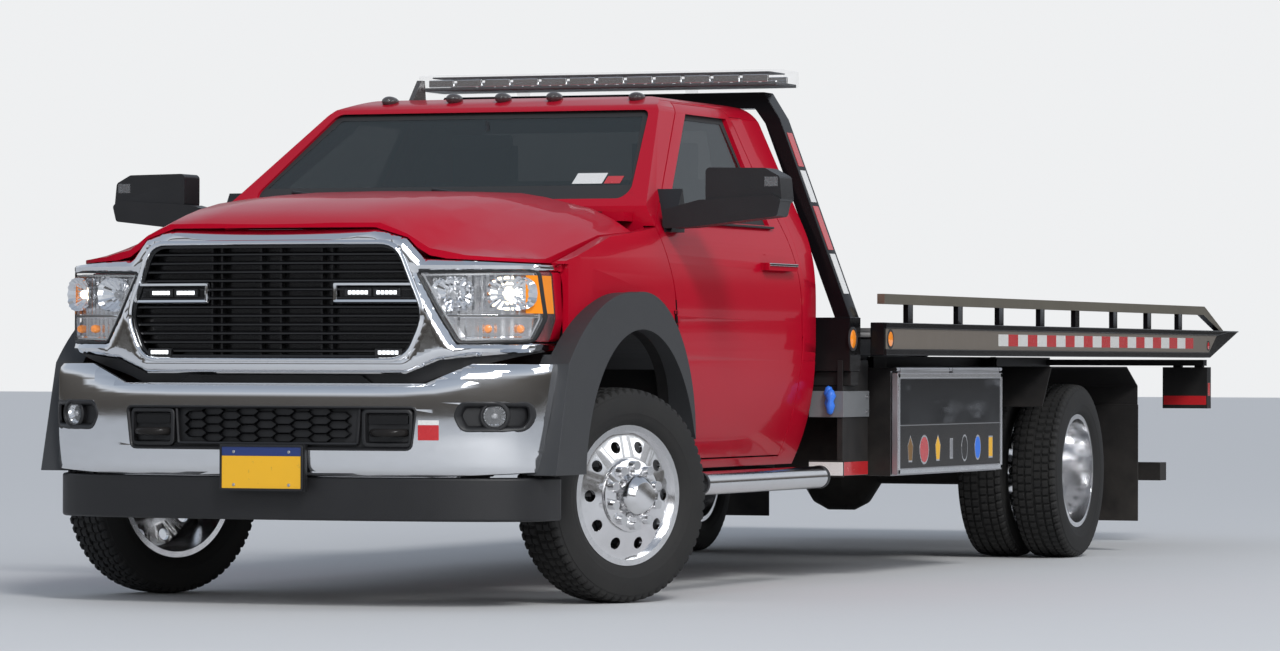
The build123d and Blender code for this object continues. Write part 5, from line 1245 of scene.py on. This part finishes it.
class TOWTRUCK_OT_wheels(bpy.types.Operator):
    """Builds the treaded tyres and polishes the wheels"""

    bl_idname = "tow_truck.wheels"
    bl_label = "Wheels"

    def execute(self, context):
        looks = context.scene.tow_truck_looks
        for side, word in SIDES:
            dress(f"wheel_front_{word}", "polished", 0.003, 2)
            dress(f"wheel_rear_{word}", "polished", 0.003, 2)
            spin = JOINTS[f"front_wheel_{word}_spin"]
            self.tyre(f"tyre_front_{word}_tread", [Vector(spin["pos_m"])], Vector(spin["axis"]), looks,
                      f"front_wheel_{word}", f"tyre_front_{word}")
            rear = JOINTS[f"rear_wheels_{word}_spin"]
            middle = Vector(rear["pos_m"])
            half = Vector((TWIN_HALF, 0.0, 0.0))
            self.tyre(f"tyre_rear_{word}_tread", [middle + half, middle - half], Vector((1.0, 0.0, 0.0)), looks,
                      f"rear_wheels_{word}", f"tyre_rear_{word}")
        return {"FINISHED"}

    def tyre(self, name, centres, axis, looks, body, node):
        """One or two tyres: a lathe of the section, with grooves cut round and across the tread."""
        form = bmesh.new()
        for centre in centres:
            self.add_tyre(form, centre, axis.normalized(), looks.tread_depth, looks.tread_pitches)
        made = piece(name, form, "tyre", body, 28.0)
        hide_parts(node)

    def add_tyre(self, form, centre, axis, depth, pitches):
        """Adds one tyre; each pitch has a groove step and three block steps."""
        side = axis.orthogonal().normalized()
        up = axis.cross(side)
        steps = pitches * 4
        rings = []
        for step in range(steps):
            angle = math.tau * step / steps
            out = side * math.cos(angle) + up * math.sin(angle)
            ring = []
            for along, radius, kind in TYRE_SECTION:
                phase = (step + (2 if along > 0 else 0)) % 4
                if kind == "groove":
                    radius -= depth
                elif kind == "shoulder" and phase == 0:
                    radius -= depth * SHOULDER_SHARE
                elif kind == "block" and phase == 1:
                    radius -= depth * BLOCK_SHARE
                ring.append(form.verts.new(centre + axis * along + out * radius))
            rings.append(ring)
        bridge(form, rings)


class TOWTRUCK_OT_chassis(bpy.types.Operator):
    """Dresses the frames, wheel lift, hoop and steps, and trims the sides behind the cab"""

    bl_idname = "tow_truck.chassis"
    bl_label = "Chassis"

    def execute(self, context):
        edge = context.scene.tow_truck_looks.steel_round
        for node in ("chassis_frame", "mounting_frame", "tilt_frame", "lift_boom", "lift_stinger", "lift_crossbar",
                     "body_panels"):
            dress(node, "black", edge, 2)
        dress("hoop", "gloss_black", 0.012, 3)
        dress("side_steps", "polished", 0.004, 3)
        self.side_trim()
        return {"FINISHED"}

    def side_trim(self):
        """Grey plate, warning strips, strap and the hoop's tape."""
        for side, word in SIDES:
            x = 1.075
            leg = (at(side * (x - 0.004), 2.172, 0.671), at(side * (x + 0.006), 2.483, 0.778))
            fronts = [(at(side * 0.93, 2.162, low), at(side * (x + 0.006), 2.173, high)) for low, high in
                      ((0.671, 0.778), (0.425, 0.494))]
            boxes_piece(f"side_plate_{word}", [leg, fronts[0]], "grey", "chassis", 0.002)
            boxes_piece(f"side_bar_{word}", [fronts[1]], "black", "chassis", 0.002)
            for number, z in enumerate((0.693, 0.756)):
                head = [(0.0, 0.0), (0.011, 0.0), (0.011, 0.005), (0.0, 0.007)]
                lathe_piece(f"side_plate_bolt_{word}_{number}", head[::-1], at(side * (x + 0.005), 2.445, z),
                            (side, 0.0, 0.0), "steel", "chassis", 6)
            for name, near, far, front, back in (("white", 0.932, x + 0.005, 2.16, 2.163),
                                                 ("red", x - 0.002, x + 0.0025, 2.175, 2.478)):
                box_piece(f"side_strip_{name}_{word}", at(side * near, front, 0.432), at(side * far, back, 0.487),
                          f"{name}_tape", "chassis", 0.001)
            if side > 0:
                strap = [(0.0, 0.0), (0.006, 0.012), (0.03, 0.022), (0.052, 0.013), (0.07, 0.02), (0.1, 0.012),
                         (0.108, 0.0)]
                for number, (out, y, z, lean) in enumerate(((1.022, 2.146, 0.8, 0.12), (1.034, 2.141, 0.788, -0.1))):
                    lathe_piece(f"strap_end_{number}", strap, at(out, y, z), (0.0, lean, -1.0), "strap", "chassis", 14,
                                smooth_angle=80.0)
            step_low, step_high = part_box("side_steps")
            end = [(0.0, 0.047), (0.02, 0.047), (0.022, 0.04), (0.022, 0.0), (0.0, 0.0)]
            for end_word, start, direction in (("front", step_low.y - 0.001, 1.0),
                                               ("rear", step_high.y + 0.001, -1.0)):
                centre = Vector((side * 1.04, start, 0.43))
                lathe_piece(f"step_cap_{word}_{end_word}", end, centre, (0.0, direction, 0.0), "trim", "chassis", 32)
        foot, top = Vector((1.1, 0.0, 1.08)), Vector((0.79, 0.0, 1.9))
        for side, word in SIDES:
            for number, (start, end, finish) in enumerate(((0.12, 0.32, "white_tape"), (0.34, 0.56, "red_tape"),
                                                           (0.58, 0.74, "white_tape"), (0.76, 0.93, "red_tape"))):
                self.leg_tape(f"hoop_tape_{word}_{number}", side, foot.lerp(top, start), foot.lerp(top, end), finish)

    def leg_tape(self, name, side, start, end, finish):
        """A strip of tape on the hoop leg's outboard face."""
        form = bmesh.new()
        out = 0.002
        rows = []
        for y in (2.215, 2.275):
            rows.append([form.verts.new(at(side * (p.x + d), y, p.z)) for p, d in
                         ((start, -out), (start, out), (end, out), (end, -out))])
        capped(form, rows)
        piece(name, form, finish, "chassis")


class TOWTRUCK_OT_bed(bpy.types.Operator):
    """Dresses the bed, its rails, reflective squares and winch"""

    bl_idname = "tow_truck.bed"
    bl_label = "Bed"

    def execute(self, context):
        dress("bed_deck", "deck", 0.002, 1)
        dress("side_rails", "gloss_black", 0.006, 3)
        top_bar_z = 1.108
        rails = dress("guard_rails", "beige_steel", 0.004, 3)
        two_tone(rails, "gloss_black", lambda middle, normal: middle.z < top_bar_z)
        dress("winch", "gloss_black", 0.004, 2)
        self.rail_faces()
        self.winch_cable()
        return {"FINISHED"}

    def rail_faces(self):
        """The rail's two lips, the enamelled web between them, and its row of white and red squares."""
        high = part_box("side_rails")[1]
        for side, word in SIDES:
            x = side * high.x
            web = [(2.345, 0.952), (7.255, 0.952), (7.4, 1.036), (2.345, 1.036)]
            self.slab(f"rail_face_{word}", side, x, web, 0.0016, "rail", 0.0004)
            lips = (("low", [(2.332, 0.9255), (7.235, 0.9255), (7.268, 0.951), (2.332, 0.951)]),
                    ("high", [(2.332, 1.037), (7.405, 1.037), (7.62, 1.0545), (7.79, 1.0545), (7.79, 1.0605),
                              (2.332, 1.0605)]))
            for name, lip in lips:
                self.slab(f"rail_lip_{name}_{word}", side, x, lip, 0.008, "gloss_black", 0.003)
            first, last, count = 3.85, 6.97, 22
            pitch = (last - first) / count
            for start, finish in enumerate(("white_tape", "red_tape")):
                squares = [(at(x + side * 0.001, y, 0.969), at(x + side * 0.0024, y + pitch * 0.985, 1.021))
                           for y in (first + number * pitch for number in range(start, count, 2))]
                boxes_piece(f"rail_{finish}_{word}", squares, finish, "bed", 0.0004)

    def slab(self, name, side, x, outline, depth, finish, width):
        """A plate on the rail's outboard face, cut to a (y, z) outline."""
        form = bmesh.new()
        rows = [[form.verts.new(at(x + side * out, y, z)) for y, z in outline] for out in (-0.001, depth)]
        capped(form, rows)
        return soften(piece(name, form, finish, "bed"), width)

    def winch_cable(self):
        """Cable wound on the winch drum, as close turns side by side."""
        centre = at(0.0, 2.56, 1.15)
        points = []
        turns, steps, radius, half_width = 22, 20, 0.077, 0.15
        for step in range(turns * steps + 1):
            angle = math.tau * step / steps
            x = -half_width + 2 * half_width * step / (turns * steps)
            points.append(Vector((x, centre.y + radius * math.cos(angle), centre.z + radius * math.sin(angle))))
        tube_piece("winch_cable", [points], 0.0066, "cable", "bed", 6)
        for x in (-0.161, 0.153):
            rim = [(0.0, 0.0), (0.0, 0.105), (0.008, 0.105), (0.008, 0.0)]
            lathe_piece(f"winch_flange_{int(x * 1000) + 500}", rim, Vector((x, centre.y, centre.z)), (1, 0, 0),
                        "gloss_black", "bed", 32)


# The plain shapes along the toolbox door, as (half width, half height, corners, finish)
BADGES = ((0.038, 0.062, 5, "bronze"), (0.062, 0.062, 40, "red_tape"), (0.036, 0.062, 5, "plate"),
          (0.03, 0.062, 4, "box"), (0.042, 0.058, 40, "panel_black"), (0.042, 0.055, 40, "strap"),
          (0.04, 0.068, 4, "plate"))


class TOWTRUCK_OT_toolboxes(bpy.types.Operator):
    """Dresses the toolboxes and the panels on their doors"""

    bl_idname = "tow_truck.toolboxes"
    bl_label = "Toolboxes"

    def execute(self, context):
        two_tone(dress("toolboxes", "box", 0.003, 2), "gloss_black", lambda middle, normal: abs(normal.y) > 0.7)
        for side, word in SIDES:
            node = f"toolbox_door_{word}"
            dress(node, "box", 0.003, 2)
            low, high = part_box(node)
            x = high.x if side > 0 else low.x
            self.face(word, side, x, low, high)
        return {"FINISHED"}

    def face(self, word, side, x, low, high):
        """The door's black panel in a bright frame, a film painted with soft grey clouds as a sheen, and a plain row of
        coloured shapes.
        """
        body = f"toolbox_door_{word}"
        out = side * 0.0012
        near, far, bottom, top = low.y + 0.004, high.y - 0.004, low.z + 0.004, 0.85
        band_z, shapes_z = 0.632, 0.53
        box_piece(f"toolbox_face_{word}", (x - side * 0.004, near + 0.028, bottom + 0.022),
                  (x + out, far - 0.028, top - 0.022), "panel_black", body, 0.001)
        bars = [((near, bottom), (far, bottom + 0.018)),
                ((near, top - 0.018), (far, top)),
                ((near, bottom), (near + 0.024, top)),
                ((far - 0.024, bottom), (far, top))]
        boxes_piece(f"toolbox_frame_{word}", [((x - side * 0.002, *start), (x + side * 0.004, *end))
                                              for start, end in bars], "polished", body, 0.002)
        box_piece(f"toolbox_band_{word}", (x, near + 0.03, band_z), (x + out * 1.3, far - 0.03, band_z + 0.004),
                  "grey", body, 0.0002)
        width = far - near - 0.14
        for number, (wide, tall, corners, finish) in enumerate(BADGES):
            middle = near + 0.07 + width * (number + 0.5) / len(BADGES)
            for layer, (scale, paint) in enumerate(((1.0, "polished"), (0.86, finish))):
                name = f"toolbox_shape_{word}_{number}_{layer}"
                self.disc(name, side, x + out * (1.0 + layer * 0.5), (middle, shapes_z), (wide * scale, tall * scale),
                          corners, paint, body)
        # A film over the panel, carrying its painted sheen of soft grey clouds, a painted reflection.
        box_piece(f"toolbox_painted_sheen_{word}", (x, near + 0.03, band_z + 0.008), (x + out * 1.2, far - 0.03, top - 0.024),
                  "cloudy", body, 0.0002)

    def disc(self, name, side, x, centre, half, corners, finish, body):
        """A thin plain shape with a number of corners, or an oval where they are many."""
        form = bmesh.new()
        rows = []
        for out in (-0.0006, 0.0006):
            row = []
            for corner in range(corners):
                angle = math.tau * (corner + 0.5) / corners - math.pi / 2
                row.append(form.verts.new((x + side * out, centre[0] + half[0] * math.cos(angle),
                                           centre[1] + half[1] * math.sin(angle))))
            rows.append(row)
        capped(form, rows)
        piece(name, form, finish, body)


# The surround's colour from straight down, past a dark skyline, to straight up
SKY = ((0.0, rgb(0.3, 0.3, 0.3)), (0.492, rgb(0.5, 0.5, 0.49)), (0.502, rgb(0.07, 0.065, 0.06)),
       (0.545, rgb(0.16, 0.15, 0.14)), (0.59, rgb(0.84, 0.88, 0.94)), (0.7, rgb(0.6, 0.67, 0.78)),
       (1.0, rgb(0.4, 0.46, 0.56)))
SENSOR_WIDTH = 36.0
PHOTO_WIDTH = 1280
CAMERA_FOCAL_PIXELS = 5314.0
CAMERA_ANGLES = (21.73, 0.41, -0.15)
CAMERA_PLACE = (8.36, -18.352, 0.889)
# Name, kind, place, target and settings of each lamp, in the model's frame
LAMPS = (("sun", "SUN", (9.0, -10.0, 11.0), (0.0, 0.0, 0.0), {"energy": 1.7, "angle": math.radians(14.0)}),
         ("front_panel", "AREA", (5.0, -13.0, 5.0), (0.0, -3.0, 1.0), {"size": 5.0, "energy": 260.0}),
         ("side_panel", "AREA", (11.0, 0.0, 6.0), (0.0, 0.0, 0.8), {"size": 6.0, "energy": 260.0}))


class TOWTRUCK_OT_studio(bpy.types.Operator):
    """Builds the pale floor, soft lights and the camera at the photograph's angle"""

    bl_idname = "tow_truck.studio"
    bl_label = "Studio"

    def execute(self, context):
        self.floor()
        self.lights()
        self.camera()
        return {"FINISHED"}

    def floor(self):
        """A large pale floor."""
        form = bmesh.new()
        bmesh.ops.create_grid(form, x_segments=2, y_segments=2, size=120.0)
        mesh = from_bmesh("floor", form)
        floor = bpy.data.objects.new("floor", mesh)
        bpy.context.scene.collection.objects.link(floor)
        finish = Finish("floor_pale", (0.6, 0.6, 0.6), 0.75)
        finish.vary(Roughness=finish.noise(2.0) * 0.1 + 0.7)
        mesh.materials.append(finish.material)

    def lights(self):
        """A sky over a dark skyline for reflections, white to the camera, and a sun with two soft panels."""
        world = bpy.data.worlds.new("studio")
        world.use_nodes = True
        bpy.context.scene.world = world
        tree = world.node_tree
        tree.nodes.clear()
        out, sky, white, coordinates, split, half, ramp, rays, mix = [
            tree.nodes.new(f"ShaderNode{kind}") for kind in (
                "OutputWorld", "Background", "Background", "TexCoord", "SeparateXYZ", "Math", "ValToRGB", "LightPath",
                "MixShader")]
        stops = ramp.color_ramp.elements
        for number, (position, colour) in enumerate(SKY):
            stop = stops[number] if number < 2 else stops.new(position)
            stop.position = position
            stop.color = colour
        half.operation = "MULTIPLY_ADD"
        half.inputs[1].default_value = 0.5
        half.inputs[2].default_value = 0.5
        sky.inputs["Strength"].default_value = 0.75
        white.inputs["Color"].default_value = rgb(0.86, 0.87, 0.88)
        white.inputs["Strength"].default_value = 1.0
        for start, end in ((coordinates.outputs["Generated"], split.inputs[0]), (split.outputs["Z"], half.inputs[0]),
                           (half.outputs[0], ramp.inputs[0]), (ramp.outputs[0], sky.inputs["Color"]),
                           (rays.outputs["Is Camera Ray"], mix.inputs[0]), (sky.outputs[0], mix.inputs[1]),
                           (white.outputs[0], mix.inputs[2]), (mix.outputs[0], out.inputs["Surface"])):
            tree.links.new(start, end)
        for name, kind, place, target, settings in LAMPS:
            data = bpy.data.lights.new(name, kind)
            for setting, value in settings.items():
                setattr(data, setting, value)
            lamp = bpy.data.objects.new(name, data)
            bpy.context.scene.collection.objects.link(lamp)
            lamp.location = place
            lamp.rotation_euler = (Vector(target) - Vector(place)).to_track_quat("-Z", "Y").to_euler()

    def camera(self):
        """The camera where the photograph was taken from."""
        data = bpy.data.cameras.new("camera")
        data.sensor_width = SENSOR_WIDTH
        data.lens = CAMERA_FOCAL_PIXELS / PHOTO_WIDTH * SENSOR_WIDTH
        data.clip_end = 500.0
        camera = bpy.data.objects.new("camera", data)
        bpy.context.scene.collection.objects.link(camera)
        yaw, pitch, roll = [math.radians(angle) for angle in CAMERA_ANGLES]
        forward = Vector((-math.sin(yaw) * math.cos(pitch), math.cos(yaw) * math.cos(pitch), math.sin(pitch)))
        right = forward.cross(Vector((0, 0, 1))).normalized()
        down = forward.cross(right)
        turned_right = right * math.cos(roll) + down * math.sin(roll)
        turned_down = down * math.cos(roll) - right * math.sin(roll)
        place = at(*CAMERA_PLACE)
        camera.matrix_world = Matrix((
            (turned_right.x, -turned_down.x, -forward.x, place.x),
            (turned_right.y, -turned_down.y, -forward.y, place.y),
            (turned_right.z, -turned_down.z, -forward.z, place.z),
            (0, 0, 0, 1)))
        bpy.context.scene.camera = camera
        bpy.context.scene.view_settings.view_transform = "Standard"


class TOWTRUCK_PT_looks(bpy.types.Panel):
    """Lists the steps that build the truck's looks"""

    bl_idname = "TOWTRUCK_PT_looks"
    bl_label = "Tow Truck"
    bl_space_type = "VIEW_3D"
    bl_region_type = "UI"
    bl_category = "Tow Truck"

    def draw(self, context):
        column = self.layout.column()
        for name in TOWTRUCK_PG_looks.__annotations__:
            column.prop(context.scene.tow_truck_looks, name)
        for step in STEPS:
            column.operator(step.bl_idname)


STEPS = (TOWTRUCK_OT_finishes, TOWTRUCK_OT_cab, TOWTRUCK_OT_front, TOWTRUCK_OT_lamps, TOWTRUCK_OT_mirrors,
         TOWTRUCK_OT_wheels, TOWTRUCK_OT_chassis, TOWTRUCK_OT_bed, TOWTRUCK_OT_toolboxes, TOWTRUCK_OT_studio)
CLASSES = (TOWTRUCK_PG_looks, *STEPS, TOWTRUCK_PT_looks)


def register():
    """Registers the classes and the scene's settings."""
    for made in CLASSES:
        bpy.utils.register_class(made)
    bpy.types.Scene.tow_truck_looks = bpy.props.PointerProperty(type=TOWTRUCK_PG_looks)


def unregister():
    """Removes the settings and the classes."""
    del bpy.types.Scene.tow_truck_looks
    for made in reversed(CLASSES):
        bpy.utils.unregister_class(made)


def main():
    """Builds everything in order."""
    register()
    for step in STEPS:
        group, name = step.bl_idname.split(".")
        getattr(getattr(bpy.ops, group), name)()


if __name__ == "__main__":
    main()
